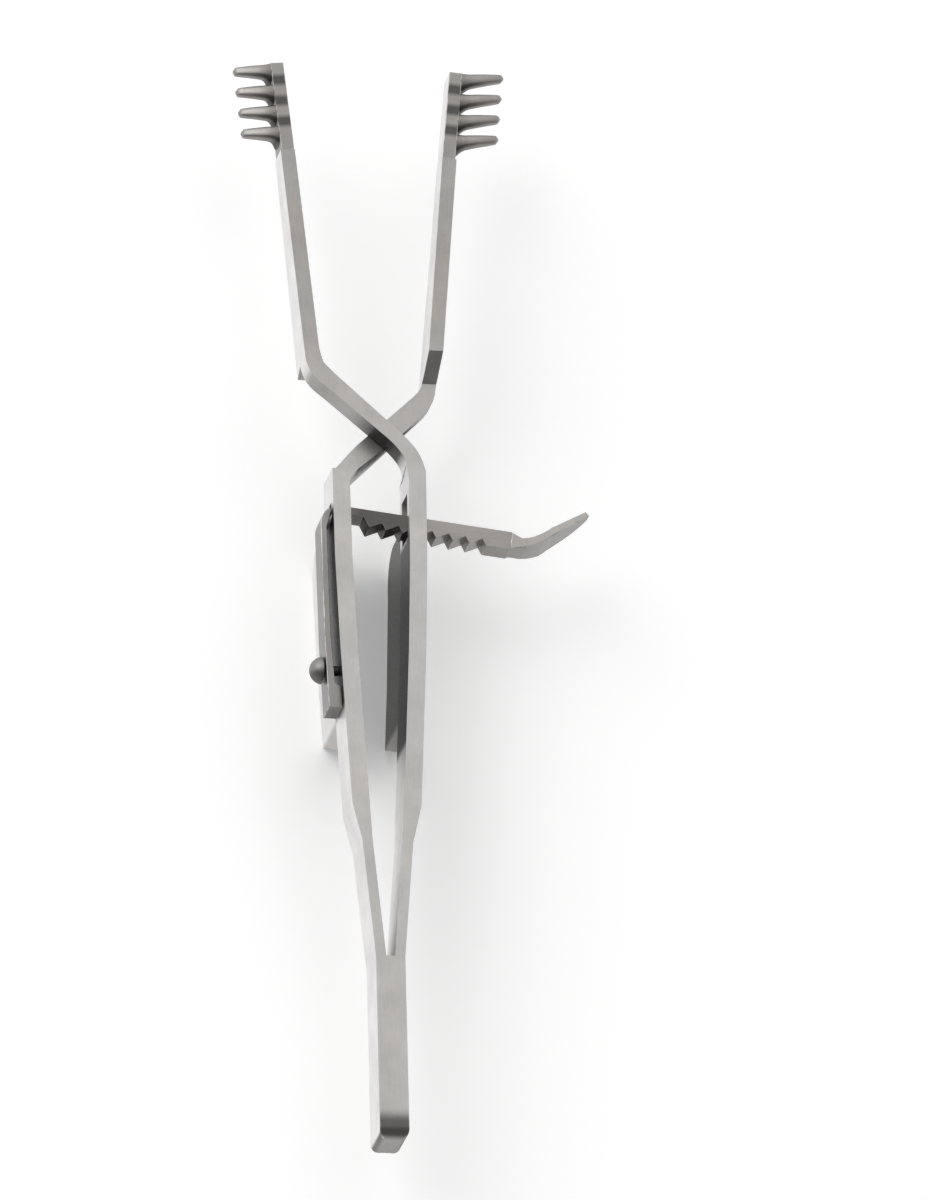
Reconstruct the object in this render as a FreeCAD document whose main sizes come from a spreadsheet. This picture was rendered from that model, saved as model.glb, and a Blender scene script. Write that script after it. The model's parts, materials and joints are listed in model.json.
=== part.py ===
import FreeCAD
import Part
import math
import os
import Sketcher

# Self retaining retractor: two crossed spring arms with four-pronged combs and a swinging ratchet bar.
# X runs to the right, Y from the heel to the combs, Z towards the viewer.
# Pieces are drawn with Y = 0 at the end of the heel, X = 0 on the middle plane and Z = 0 on the plane of
# the finger plates' deep edges, on which it lies. They are then moved so that the origin is below the
# middle of the whole retractor.
# Every arm size is given for the right-hand side, and the left-hand side is its mirror image.

SIZES = (
    # Overall build
    ("overall_depth", 12.0),
    ("arm_depth", 5.0),
    ("strip_thickness", 1.0),
    ("spacer_thickness", 0.85),
    ("heel_length", 18.2),
    ("heel_corner_radius", 0.7),
    ("heel_front_radius", 1.1),
    # Spring legs: lengths along Y and distances of the inner face from the middle plane
    ("leg_low_length", 5.8),
    ("flex_spread", 0.95),
    ("flex_gap", 0.12),
    ("leg_high_length", 5.8),
    ("shoulder_spread", 1.47),
    # Handles
    ("shoulder_length", 3.8),
    ("handle_thickness", 1.7),
    ("grip_rise_length", 19.8),
    ("grip_low_spread", 2.5),
    ("grip_length", 9.4),
    ("grip_top_spread", 2.82),
    ("elbow_rise", 7.5),
    ("elbow_spread", 2.9),
    # Crossing
    ("handle_top_rise", 1.5),
    ("lap_depth", 2.8),
    ("lap_clearance", 0.1),
    ("lap_rise", 1.4),
    ("lap_length", 10.3),
    ("lap_ramp", 2.4),
    ("lap_overrun", 0.5),
    ("thinning_ramp", 0.6),
    ("crossing_depth", 4.6),
    # Bends of each arm's strip: distance from the middle plane, with a minus sign on the blade's side,
    # and height above the elbow
    ("front_elbow_out_reach", 4.05),
    ("front_elbow_out_rise", 3.3),
    ("front_slant_out_reach", 2.7),
    ("front_slant_out_rise", 4.95),
    ("front_bend_out_reach", -3.9),
    ("front_bend_out_rise", 11.0),
    ("front_curve_out_reach", -5.2),
    ("front_curve_out_rise", 12.3),
    ("front_root_reach", -5.6),
    ("front_root_rise", 13.6),
    ("front_heel_reach", -6.95),
    ("front_heel_rise", 12.2),
    ("front_curve_in_reach", -6.2),
    ("front_curve_in_rise", 10.8),
    ("front_bend_in_reach", -4.6),
    ("front_bend_in_rise", 9.5),
    ("front_slant_in_reach", 1.5),
    ("front_slant_in_rise", 4.25),
    ("front_turn_in_reach", 2.6),
    ("front_turn_in_rise", 2.8),
    ("front_elbow_in_rise", 0.9),
    ("rear_elbow_out_reach", 3.75),
    ("rear_elbow_out_rise", 2.5),
    ("rear_slant_out_reach", 1.8),
    ("rear_slant_out_rise", 4.8),
    ("rear_bend_out_reach", -4.2),
    ("rear_bend_out_rise", 10.4),
    ("rear_curve_out_reach", -4.85),
    ("rear_curve_out_rise", 11.2),
    ("rear_root_reach", -5.0),
    ("rear_root_rise", 12.0),
    ("rear_heel_reach", -6.4),
    ("rear_heel_rise", 11.9),
    ("rear_curve_in_reach", -6.15),
    ("rear_curve_in_rise", 10.2),
    ("rear_bend_in_reach", -5.6),
    ("rear_bend_in_rise", 9.1),
    ("rear_slant_in_reach", 2.2),
    ("rear_slant_in_rise", 1.3),
    ("rear_turn_in_reach", 2.6),
    ("rear_turn_in_rise", 0.8),
    ("rear_elbow_in_rise", 0.3),
    # Blades
    ("blade_width", 1.4),
    ("blade_tip_depth", 3.0),
    ("blade_lean", 5.8),
    ("front_blade_reach", 7.6),
    ("front_blade_length", 20.9),
    ("rear_blade_reach", 7.0),
    ("rear_blade_setback", 0.1),
    # Combs
    ("comb_length", 9.2),
    ("comb_root", 1.3),
    ("front_comb_reach", 4.85),
    ("rear_comb_reach", 5.35),
    ("comb_root_depth", 2.9),
    ("comb_step", 0.1),
    ("prong_drop", 1.35),
    ("prong_tip_depth", 0.7),
    ("prong_pitch", 2.17),
    ("prong_root_gap", 0.9),
    ("root_gap_bend", 0.55),
    ("prong_tip_thickness", 0.55),
    ("first_prong_station", 2.1),
    ("prong_upper_bend", 1.2),
    ("prong_under_bend", 1.6),
    # Finger plates
    ("plate_below_grip", 8.8),
    ("plate_low_slope", 2.7),
    ("plate_above_grip", 4.6),
    ("plate_corner_radius", 3.6),
    # Ratchet bar
    ("pivot_reach", 3.62),
    ("pivot_above_plate", 0.2),
    ("pin_radius", 0.35),
    ("eye_radius", 0.75),
    ("running_clearance", 0.05),
    ("bar_depth", 2.6),
    ("bar_front_inset", 1.2),
    ("bar_lean", 6.6),
    ("bar_top_offset", 0.7),
    ("bar_body_height", 1.15),
    ("bar_length", 16.8),
    ("tooth_height", 0.65),
    ("tooth_pitch", 1.65),
    ("first_tooth_station", 2.9),
    ("first_flank_length", 0.66),
    ("gullet_root_share", 0.72),
    ("gullet_end_share", 0.97),
    ("neck_share", 0.67),
    ("neck_start_gap", 0.5),
    # Thumb lever
    ("lever_thickness", 0.65),
    ("lever_depth", 4.6),
    ("lever_length", 7.0),
    ("lever_rise", 4.0),
    ("lever_bend_radius", 8.0),
    ("lever_root_inset", 0.1),
    ("lever_neck_length", 1.4),
    ("lever_neck_rise", 0.45),
    ("lever_step_length", 1.1),
    ("lever_step_drop", 0.45),
    ("lever_knee_share", 0.55),
    ("lever_knee_rise_share", 0.3),
    ("lever_slant_share", 0.6),
    ("lever_back_bend_share", 0.7),
    ("lever_widening_start", 0.3),
    ("lever_widening_end", 3.4),
    ("lever_corner_share", 0.8),
    # Ratchet window in the right handle and slot in the left one
    ("catch_clearance", 0.25),
    ("window_height", 4.5),
    ("slot_clearance", 0.12),
    ("eye_slot_clearance", 0.19),
    # Leaf spring and its screw
    ("leaf_thickness", 0.6),
    ("leaf_width", 3.2),
    ("leaf_bow", 0.75),
    ("leaf_above_plate_end", 2.8),
    ("leaf_foot_height", 2.2),
    ("leaf_seat_gap", 0.03),
    ("leaf_hole_clearance", 0.12),
    ("leaf_bend_offset", 1.5),
    ("leaf_tip_overrun", 0.4),
    ("leaf_tip_length", 2.0),
    ("leaf_tip_radius", 2.2),
    ("leaf_tip_gap", 0.25),
    ("leaf_edge_gap", 0.08),
    ("leaf_edge_height", 0.35),
    ("leaf_tip_bow_share", 0.75),
    ("leaf_foot_bow_share", 0.8),
    ("leaf_foot_slope_height", 0.3),
    ("shank_inset", 0.2),
    ("screw_above_leaf_end", 4.3),
    ("screw_head_radius", 1.35),
    ("screw_head_height", 1.25),
    ("screw_shank_radius", 0.5),
    ("screw_clearance", 0.17),
)


# Stations along Y, each measured from the one that carries it, so that the pieces above a length
# move with it
STATIONS = (
    ("flex_station", "=heel_length + leg_low_length"),
    ("shoulder_station", "=flex_station + leg_high_length"),
    ("grip_low_station", "=shoulder_station + grip_rise_length"),
    ("grip_top_station", "=grip_low_station + grip_length"),
    ("elbow_station", "=grip_top_station + elbow_rise"),
    ("handle_top_station", "=elbow_station + handle_top_rise"),
    ("lap_start_station", "=elbow_station + lap_rise"),
    ("lap_end_station", "=lap_start_station + lap_length"),
    ("front_root_station", "=elbow_station + front_root_rise"),
    ("rear_root_station", "=elbow_station + rear_root_rise"),
    ("front_blade_station", "=front_root_station + front_blade_length"),
    ("rear_blade_station", "=front_blade_station - rear_blade_setback"),
    ("plate_low_station", "=grip_low_station - plate_below_grip"),
    ("plate_top_station", "=grip_top_station + plate_above_grip"),
    ("pivot_station", "=plate_top_station + pivot_above_plate"),
    ("leaf_low_station", "=plate_low_station + leaf_above_plate_end"),
    ("screw_station", "=leaf_low_station + screw_above_leaf_end"),
)


def make_sheet(doc):
    """Put every driving dimension into one sheet, in millimetres and degrees."""
    sheet = doc.addObject("Spreadsheet::Sheet", "sizes")
    sheet.set("A1", "size")
    sheet.set("B1", "value")
    for row, (name, value) in enumerate(SIZES + STATIONS, start=2):
        sheet.set(f"A{row}", name)
        sheet.set(f"B{row}", str(value))
        sheet.setAlias(f"B{row}", name)
    row = len(SIZES + STATIONS) + 2
    for place, name in enumerate(("centre_x", "centre_y"), start=row):
        sheet.set(f"A{place}", name)
        sheet.set(f"B{place}", "0")
        sheet.setAlias(f"B{place}", name)
    doc.recompute()
    return sheet


def new_body(doc, label):
    """Start one piece as a body of its own, drawn in the frame that all pieces share."""
    body = doc.addObject("PartDesign::Body", label)
    body.Label = label
    place(body, "0", "0", "0")
    return body


def place(body, x, y, z):
    """Put a piece's own origin at a point of the shared frame."""
    body.setExpression("Placement.Base.x", f"{x} - sizes.centre_x")
    body.setExpression("Placement.Base.y", f"{y} - sizes.centre_y")
    body.setExpression("Placement.Base.z", z)


def number(body, expression):
    """Value of an expression as a plain number, for the first guess of a sketch."""
    value = body.evalExpression(expression)
    return float(getattr(value, "Value", value))


def arc_between(start, end, radius, centre_side):
    """Short arc from start to end; its centre lies to the left or right of the way from start to end."""
    chord = end - start
    rise = math.sqrt(max(radius**2 - (chord.Length / 2)**2, 0))
    normal = FreeCAD.Vector(-chord.y, chord.x, 0).normalize()
    if centre_side == "right":
        normal = normal * -1
    centre = (start + end) / 2 + normal * rise
    first, last = (start, end) if centre_side == "left" else (end, start)
    first_angle = math.atan2(first.y - centre.y, first.x - centre.x)
    last_angle = math.atan2(last.y - centre.y, last.x - centre.x)
    circle = Part.Circle(centre, FreeCAD.Vector(0, 0, 1), radius)
    return Part.ArcOfCircle(circle, first_angle, last_angle)


def draw(body, name, plane_role, corners, height="0"):
    """Closed outline on one of the body's own planes, every corner bound to the sheet.

    A corner is (x, y), or (x, y, side, radius) where the side that leaves it is an arc.
    """
    sketch = body.newObject("Sketcher::SketchObject", name)
    plane = next(item for item in body.Origin.OriginFeatures if item.Role == plane_role)
    sketch.AttachmentSupport = [(plane, "")]
    sketch.MapMode = "FlatFace"
    sketch.setExpression("AttachmentOffset.Base.z", height)
    points = [FreeCAD.Vector(number(body, c[0]), number(body, c[1]), 0) for c in corners]
    ends = []
    for index, corner in enumerate(corners):
        start = points[index]
        end = points[(index + 1) % len(points)]
        if len(corner) == 4:
            arc = arc_between(start, end, number(body, corner[3]), corner[2])
            sketch.addGeometry(arc)
            ends.append((1, 2) if corner[2] == "left" else (2, 1))
        else:
            sketch.addGeometry(Part.LineSegment(start, end))
            ends.append((1, 2))
    for index, corner in enumerate(corners):
        following = (index + 1) % len(corners)
        joint = Sketcher.Constraint("Coincident", index, ends[index][1], following, ends[following][0])
        sketch.addConstraint(joint)
        for kind, expression, value in (
            ("DistanceX", corner[0], points[index].x),
            ("DistanceY", corner[1], points[index].y),
        ):
            place = sketch.addConstraint(
                Sketcher.Constraint(kind, -1, 1, index, ends[index][0], value)
            )
            sketch.setExpression(f"Constraints[{place}]", expression)
        if len(corner) == 4:
            radius = number(body, corner[3])
            place = sketch.addConstraint(Sketcher.Constraint("Radius", index, radius))
            sketch.setExpression(f"Constraints[{place}]", corner[3])
    return sketch


def draw_circle(body, name, plane_role, centre, radius, height="0"):
    """Circle on one of the body's own planes, bound to the sheet."""
    sketch = body.newObject("Sketcher::SketchObject", name)
    plane = next(item for item in body.Origin.OriginFeatures if item.Role == plane_role)
    sketch.AttachmentSupport = [(plane, "")]
    sketch.MapMode = "FlatFace"
    sketch.setExpression("AttachmentOffset.Base.z", height)
    middle = FreeCAD.Vector(number(body, centre[0]), number(body, centre[1]), 0)
    size = number(body, radius)
    sketch.addGeometry(Part.Circle(middle, FreeCAD.Vector(0, 0, 1), size))
    for constraint, expression in (
        (Sketcher.Constraint("DistanceX", -1, 1, 0, 3, middle.x), centre[0]),
        (Sketcher.Constraint("DistanceY", -1, 1, 0, 3, middle.y), centre[1]),
        (Sketcher.Constraint("Radius", 0, size), radius),
    ):
        place = sketch.addConstraint(constraint)
        sketch.setExpression(f"Constraints[{place}]", expression)
    return sketch


def pad(body, name, sketch, length, reverse=False):
    """Grow a sketch into a solid."""
    feature = body.newObject("PartDesign::Pad", name)
    feature.Profile = sketch
    feature.setExpression("Length", length)
    feature.Reversed = reverse
    return feature


def pocket_through(body, name, sketch):
    """Cut a sketch through everything, on both sides of its plane."""
    feature = body.newObject("PartDesign::Pocket", name)
    feature.Profile = sketch
    feature.Type = "ThroughAll"
    feature.SideType = "Symmetric"
    return feature


def mirrored(side, expression):
    """The same distance on the right (1) or the left (-1) of the middle plane."""
    return expression if side > 0 else f"-({expression})"


# How far a cutting outline reaches past the solid, in millimetres
CLEAR = 1
# Gaps cut into each comb (the two outer ones free its ends) and gullets cut into the bar
PRONG_GAPS = 5
GULLETS = 7
# Sides of a 3-4-5 triangle: a point on the eye of the bar, as shares of its radius
EYE_SHORT = "sizes.eye_radius * 3 / 5"
EYE_LONG = "sizes.eye_radius * 4 / 5"

# Heights and places that several pieces share
ARM_FLOOR = "sizes.overall_depth - sizes.arm_depth"
BAR_FLOOR = "sizes.overall_depth - sizes.bar_front_inset - sizes.bar_depth"
BAR_MIDDLE = f"{BAR_FLOOR} + sizes.bar_depth / 2"
SHOULDER_END = "sizes.shoulder_station + sizes.shoulder_length"
LEAN = "sizes.blade_lean * 1deg"
BAR_LEAN = "sizes.bar_lean * 1deg"
TOOTH_LINE = "(sizes.bar_top_offset - sizes.bar_body_height - sizes.tooth_height)"


def spread_at(station):
    """Distance of a handle's inner face from the middle plane, below the lower grip station."""
    rise = "(sizes.grip_low_spread - sizes.shoulder_spread)"
    run = "(sizes.grip_low_station - sizes.shoulder_station)"
    return f"(sizes.shoulder_spread + {rise} * ({station} - sizes.shoulder_station) / {run})"


def heel_leg(doc, side, label):
    """Heel end of one strip, up to the middle of its spring leg."""
    body = new_body(doc, label)
    inner = "sizes.spacer_thickness / 2"
    outer = f"{inner} + sizes.strip_thickness"
    top = "sizes.flex_station - sizes.flex_gap / 2"
    corners = [
        (inner, "0"),
        (f"{outer} - sizes.heel_corner_radius", "0", "left", "sizes.heel_corner_radius"),
        (outer, "sizes.heel_corner_radius"),
        (outer, "sizes.heel_length"),
        ("sizes.flex_spread + sizes.strip_thickness", top),
        ("sizes.flex_spread", top),
        (inner, "sizes.heel_length"),
    ]
    corners = [(mirrored(side, c[0]), *c[1:]) for c in corners]
    if side < 0:
        corners = [flip_arc(c) for c in corners]
    outline = draw(body, f"{label}_outline", "XY_Plane", corners, ARM_FLOOR)
    pad(body, f"{label}_strip", outline, "sizes.arm_depth")
    round_heel(body, label)
    return body


def round_heel(body, label):
    """Round the front edge of the heel's end."""
    top = "sizes.overall_depth"
    radius = "sizes.heel_front_radius"
    corners = [
        ("0", f"{top} - {radius}", "right", radius),
        (radius, top),
        (radius, f"{top} + {CLEAR}"),
        (f"-{CLEAR}", f"{top} + {CLEAR}"),
        (f"-{CLEAR}", f"{top} - {radius}"),
    ]
    pocket_through(body, f"{label}_end", draw(body, f"{label}_end_outline", "YZ_Plane", corners))


def heel_spacer(doc):
    """Strip between the two arms, brazed to both; its end is the bottom of the fork."""
    body = new_body(doc, "heel_spacer")
    half = "sizes.spacer_thickness / 2"
    corners = [(f"-{half}", "0"), (half, "0"), (half, "sizes.heel_length"), (f"-{half}", "sizes.heel_length")]
    outline = draw(body, "spacer_outline", "XY_Plane", corners, ARM_FLOOR)
    pad(body, "spacer_strip", outline, "sizes.arm_depth")
    round_heel(body, "heel_spacer")
    return body


def arm_corners(side, name):
    """Outline of one arm: spring leg, shoulder, handle, crossing and the blade on the other side."""
    start = "sizes.flex_station + sizes.flex_gap / 2"
    blade_x = f"-(sizes.{name}_blade_reach)"
    blade_y = f"sizes.{name}_blade_station"

    def bend(point):
        """Corner of the strip at one of its bends."""
        return f"(sizes.{name}_{point}_reach)", f"sizes.elbow_station + sizes.{name}_{point}_rise"

    corners = [
        ("sizes.flex_spread", start),
        ("sizes.flex_spread + sizes.strip_thickness", start),
        ("sizes.shoulder_spread + sizes.strip_thickness", "sizes.shoulder_station"),
        (f"{spread_at('(' + SHOULDER_END + ')')} + sizes.handle_thickness", SHOULDER_END),
        ("sizes.grip_low_spread + sizes.handle_thickness", "sizes.grip_low_station"),
        ("sizes.grip_top_spread + sizes.handle_thickness", "sizes.grip_top_station"),
        ("sizes.elbow_spread + sizes.handle_thickness", "sizes.handle_top_station"),
        bend("elbow_out"),
        bend("slant_out"),
        bend("bend_out"),
        bend("curve_out"),
        bend("root"),
        (blade_x, blade_y),
        (f"{blade_x} - sizes.blade_width * cos({LEAN})", f"{blade_y} - sizes.blade_width * sin({LEAN})"),
        bend("heel"),
        bend("curve_in"),
        bend("bend_in"),
        bend("slant_in"),
        bend("turn_in"),
        ("sizes.elbow_spread", f"sizes.elbow_station + sizes.{name}_elbow_in_rise"),
        ("sizes.grip_top_spread", "sizes.grip_top_station"),
        ("sizes.grip_low_spread", "sizes.grip_low_station"),
        ("sizes.shoulder_spread", "sizes.shoulder_station"),
    ]
    return [(mirrored(side, x), y) for x, y in corners]


def arm(doc, side, label, name):
    """One arm: its outline at full depth, thinned on the deep side from the elbow to the comb."""
    body = new_body(doc, label)
    outline = draw(body, f"{label}_outline", "XY_Plane", arm_corners(side, name), ARM_FLOOR)
    pad(body, f"{label}_strip", outline, "sizes.arm_depth")
    floor = f"({ARM_FLOOR})"
    crossing_floor = "sizes.overall_depth - sizes.crossing_depth"
    tip_floor = "sizes.overall_depth - sizes.blade_tip_depth"
    beyond = f"sizes.{name}_blade_station + {CLEAR}"
    thinning = [
        ("sizes.elbow_station - sizes.thinning_ramp", f"{floor}"),
        ("sizes.lap_start_station", crossing_floor),
        (f"sizes.{name}_root_station", crossing_floor),
        (f"sizes.{name}_blade_station", tip_floor),
        (beyond, tip_floor),
        (beyond, f"{floor} - {CLEAR}"),
        ("sizes.elbow_station - sizes.thinning_ramp", f"{floor} - {CLEAR}"),
    ]
    pocket_through(body, f"{label}_thinning", draw(body, f"{label}_side", "YZ_Plane", thinning))
    return body


def half_lap(body, label, name):
    """Halve the arm where the other one crosses it: the front arm keeps its near half."""
    if name == "front":
        top = "sizes.overall_depth - sizes.lap_depth + sizes.lap_clearance / 2"
        bottom = f"{ARM_FLOOR} - {CLEAR}"
        corners = [
            ("sizes.lap_start_station", bottom),
            ("sizes.lap_end_station + sizes.lap_overrun", bottom),
            ("sizes.lap_end_station + sizes.lap_overrun", top),
            ("sizes.lap_start_station", top),
        ]
    else:
        bottom = "sizes.overall_depth - sizes.lap_depth - sizes.lap_clearance / 2"
        top = "sizes.overall_depth"
        corners = [
            ("sizes.lap_start_station", bottom),
            ("sizes.lap_end_station", bottom),
            ("sizes.lap_end_station + sizes.lap_ramp", top),
            ("sizes.lap_end_station + sizes.lap_ramp", f"{top} + {CLEAR}"),
            ("sizes.lap_start_station", f"{top} + {CLEAR}"),
        ]
    pocket_through(body, f"{label}_lap", draw(body, f"{label}_lap_outline", "YZ_Plane", corners))


def ratchet_window(body):
    """Opening in the right handle for the bar; its lower outer edge is the catch for the teeth."""
    run = "(sizes.pivot_reach + sizes.grip_top_spread + sizes.handle_thickness)"
    line = f"sizes.pivot_station - {run} * tan({BAR_LEAN}) + {TOOTH_LINE} / cos({BAR_LEAN})"
    bottom = f"{line} - sizes.catch_clearance"
    low = f"{BAR_FLOOR} - sizes.slot_clearance"
    high = f"{BAR_FLOOR} + sizes.bar_depth + sizes.slot_clearance"
    corners = [
        (bottom, low),
        (f"{bottom} + sizes.window_height", low),
        (f"{bottom} + sizes.window_height", high),
        (bottom, high),
    ]
    pocket_through(body, "ratchet_window", draw(body, "window_outline", "YZ_Plane", corners))


def pivot_seat(body):
    """Slot for the eye of the bar, hole for its pin and hole for the leaf spring's screw."""
    reach = "(sizes.eye_radius + sizes.eye_slot_clearance)"
    low = f"{BAR_FLOOR} - sizes.slot_clearance"
    high = f"{BAR_FLOOR} + sizes.bar_depth + sizes.slot_clearance"
    corners = [
        (f"sizes.pivot_station - {reach}", low),
        (f"sizes.pivot_station + {reach}", low),
        (f"sizes.pivot_station + {reach}", high),
        (f"sizes.pivot_station - {reach}", high),
    ]
    pocket_through(body, "bar_slot", draw(body, "bar_slot_outline", "YZ_Plane", corners))
    pin_hole = draw_circle(
        body, "pin_hole_outline", "XY_Plane", ("-sizes.pivot_reach", "sizes.pivot_station"), "sizes.pin_radius"
    )
    pocket_through(body, "pin_hole", pin_hole)
    screw_hole = draw_circle(
        body, "screw_hole_outline", "YZ_Plane", ("sizes.screw_station", BAR_MIDDLE), "sizes.screw_shank_radius"
    )
    pocket_through(body, "screw_hole", screw_hole)


def finger_plate(doc, side, label):
    """Deep flat plate under one handle, with a sloped lower end and a rounded upper corner."""
    body = new_body(doc, label)
    depth = ARM_FLOOR
    low = "sizes.plate_low_station"
    corners = [
        (spread_at(low), low),
        (f"{spread_at(low)} + sizes.handle_thickness", low),
        ("sizes.grip_low_spread + sizes.handle_thickness", "sizes.grip_low_station"),
        ("sizes.grip_top_spread + sizes.handle_thickness", "sizes.grip_top_station"),
        (f"{top_spread()} + sizes.handle_thickness", "sizes.plate_top_station"),
        (top_spread(), "sizes.plate_top_station"),
        ("sizes.grip_top_spread", "sizes.grip_top_station"),
        ("sizes.grip_low_spread", "sizes.grip_low_station"),
    ]
    outline = draw(body, f"{label}_outline", "XY_Plane", [(mirrored(side, x), y) for x, y in corners])
    pad(body, f"{label}_slab", outline, depth)
    slope = [
        (f"{low} - {CLEAR}", f"-{CLEAR}"),
        (f"{low} + sizes.plate_low_slope * (1 + {CLEAR} / ({depth}))", f"-{CLEAR}"),
        (low, depth),
        (f"{low} - {CLEAR}", depth),
    ]
    pocket_through(body, f"{label}_lower_end", draw(body, f"{label}_slope", "YZ_Plane", slope))
    top = "sizes.plate_top_station"
    corner = [
        (f"{top} - sizes.plate_corner_radius", "0", "left", "sizes.plate_corner_radius"),
        (top, "sizes.plate_corner_radius"),
        (f"{top} + {CLEAR}", "sizes.plate_corner_radius"),
        (f"{top} + {CLEAR}", f"-{CLEAR}"),
        (f"{top} - sizes.plate_corner_radius", f"-{CLEAR}"),
    ]
    pocket_through(body, f"{label}_upper_corner", draw(body, f"{label}_corner", "YZ_Plane", corner))
    return body


def top_spread():
    """Distance of a handle's inner face from the middle plane at the top of the finger plate."""
    rise = "(sizes.elbow_spread - sizes.grip_top_spread)"
    run = "(sizes.elbow_station - sizes.grip_top_station)"
    return f"(sizes.grip_top_spread + {rise} * (sizes.plate_top_station - sizes.grip_top_station) / {run})"


def comb(doc, side, label, name):
    """Comb of four curved prongs, in its own frame: X outwards, Y along the blade, Z up."""
    body = new_body(doc, label)
    reach = f"sizes.{name}_comb_reach"
    deep = "-sizes.comb_root_depth"
    tip_top = "-sizes.prong_drop"
    tip_bottom = f"{tip_top} - sizes.prong_tip_depth"
    profile = [
        ("0", deep),
        ("sizes.comb_root", deep, "right", f"{reach} * sizes.prong_under_bend"),
        (reach, tip_bottom),
        (reach, tip_top, "left", f"{reach} * sizes.prong_upper_bend"),
        ("sizes.comb_root", "0"),
        ("0", "0"),
    ]
    profile = [(mirrored(side, c[0]), *c[1:]) for c in profile]
    if side < 0:
        profile = [flip_arc(c) for c in profile]
    blank = draw(body, f"{label}_profile", "XZ_Plane", profile)
    pad(body, f"{label}_blank", blank, "sizes.comb_length", reverse=True)

    beyond = f"({reach} + {CLEAR})"
    tilt = f"({beyond} - sizes.comb_root) * tan({LEAN})"
    middle = "(sizes.first_prong_station - sizes.prong_pitch / 2)"
    tip_gap = "(sizes.prong_pitch - sizes.prong_tip_thickness)"
    root_bend = "sizes.prong_root_gap * sizes.root_gap_bend"
    gap = [
        ("sizes.comb_root", f"{middle} - sizes.prong_root_gap / 2"),
        (beyond, f"{middle} + {tilt} - {tip_gap} / 2"),
        (beyond, f"{middle} + {tilt} + {tip_gap} / 2"),
        ("sizes.comb_root", f"{middle} + sizes.prong_root_gap / 2", "left", root_bend),
    ]
    gap = [(mirrored(side, c[0]), *c[1:]) for c in gap]
    if side < 0:
        gap = [flip_arc(c) for c in gap]
    cut = pocket_through(body, f"{label}_gap", draw(body, f"{label}_gap_outline", "XY_Plane", gap))
    rows = body.newObject("PartDesign::LinearPattern", f"{label}_gaps")
    rows.Originals = [cut]
    rows.Direction = (next(i for i in body.Origin.OriginFeatures if i.Role == "Y_Axis"), [""])
    rows.setExpression("Length", f"sizes.prong_pitch * {PRONG_GAPS - 1}")
    rows.Occurrences = PRONG_GAPS
    body.Tip = rows
    relief = [
        ("sizes.comb_root", f"-{CLEAR}"),
        (beyond, f"-{CLEAR}"),
        (beyond, f"{middle}"),
        ("sizes.comb_root", f"{middle}"),
    ]
    relief = [(mirrored(side, x), y) for x, y in relief]
    pocket_through(body, f"{label}_neck", draw(body, f"{label}_neck_outline", "XY_Plane", relief))
    front = "sizes.overall_depth - sizes.comb_step"
    place(body, mirrored(side, f"sizes.{name}_blade_reach"), f"sizes.{name}_blade_station", front)
    body.setExpression("Placement.Rotation.Angle", mirrored(-side, "sizes.blade_lean * 1deg"))
    return body


def flip_arc(corner):
    """Swap the side of an arc's centre when an outline is mirrored."""
    if len(corner) == 2:
        return corner
    return (corner[0], corner[1], "left" if corner[2] == "right" else "right", corner[3])


def place_on_bar(body):
    """Put a piece that is drawn in the bar's own frame in its place: origin on the pivot, X along the bar."""
    place(body, "-sizes.pivot_reach", "sizes.pivot_station", "0")
    body.setExpression("Placement.Rotation.Angle", f"-{BAR_LEAN}")


def ratchet_bar(doc):
    """Swinging bar: round eye, thin neck and a straight body with saw teeth on its lower side."""
    body = new_body(doc, "ratchet_bar")
    top = "sizes.bar_top_offset"
    neck = "sizes.bar_top_offset - sizes.bar_body_height * sizes.neck_share"
    first = "sizes.first_tooth_station"
    corners = [
        (f"-{EYE_SHORT}", f"-{EYE_LONG}", "left", "sizes.eye_radius"),
        (EYE_LONG, f"-{EYE_SHORT}"),
        ("sizes.eye_radius + sizes.neck_start_gap", neck),
        (f"{first} - sizes.first_flank_length", neck),
        (first, TOOTH_LINE),
        ("sizes.bar_length", TOOTH_LINE),
        ("sizes.bar_length", top),
        ("0", top),
        (f"-{EYE_LONG}", EYE_SHORT, "left", "sizes.eye_radius"),
    ]
    outline = draw(body, "bar_outline", "XY_Plane", corners, BAR_FLOOR)
    pad(body, "bar_blank", outline, "sizes.bar_depth")
    root = f"{TOOTH_LINE} + sizes.tooth_height"
    last = f"{first} + sizes.tooth_pitch * sizes.gullet_end_share"
    gullet = [
        (f"{first}", TOOTH_LINE),
        (f"{first} + sizes.tooth_pitch * sizes.gullet_root_share", root),
        (last, TOOTH_LINE),
        (last, f"{TOOTH_LINE} - {CLEAR}"),
        (f"{first}", f"{TOOTH_LINE} - {CLEAR}"),
    ]
    cut = pocket_through(body, "gullet", draw(body, "gullet_outline", "XY_Plane", gullet))
    rows = body.newObject("PartDesign::LinearPattern", "gullets")
    rows.Originals = [cut]
    rows.Direction = (next(i for i in body.Origin.OriginFeatures if i.Role == "X_Axis"), [""])
    rows.setExpression("Length", f"sizes.tooth_pitch * {GULLETS - 1}")
    rows.Occurrences = GULLETS
    body.Tip = rows
    hole = draw_circle(body, "eye_hole_outline", "XY_Plane", ("0", "0"), "sizes.pin_radius + sizes.running_clearance")
    pocket_through(body, "eye_hole", hole)
    place_on_bar(body)
    return body


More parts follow.
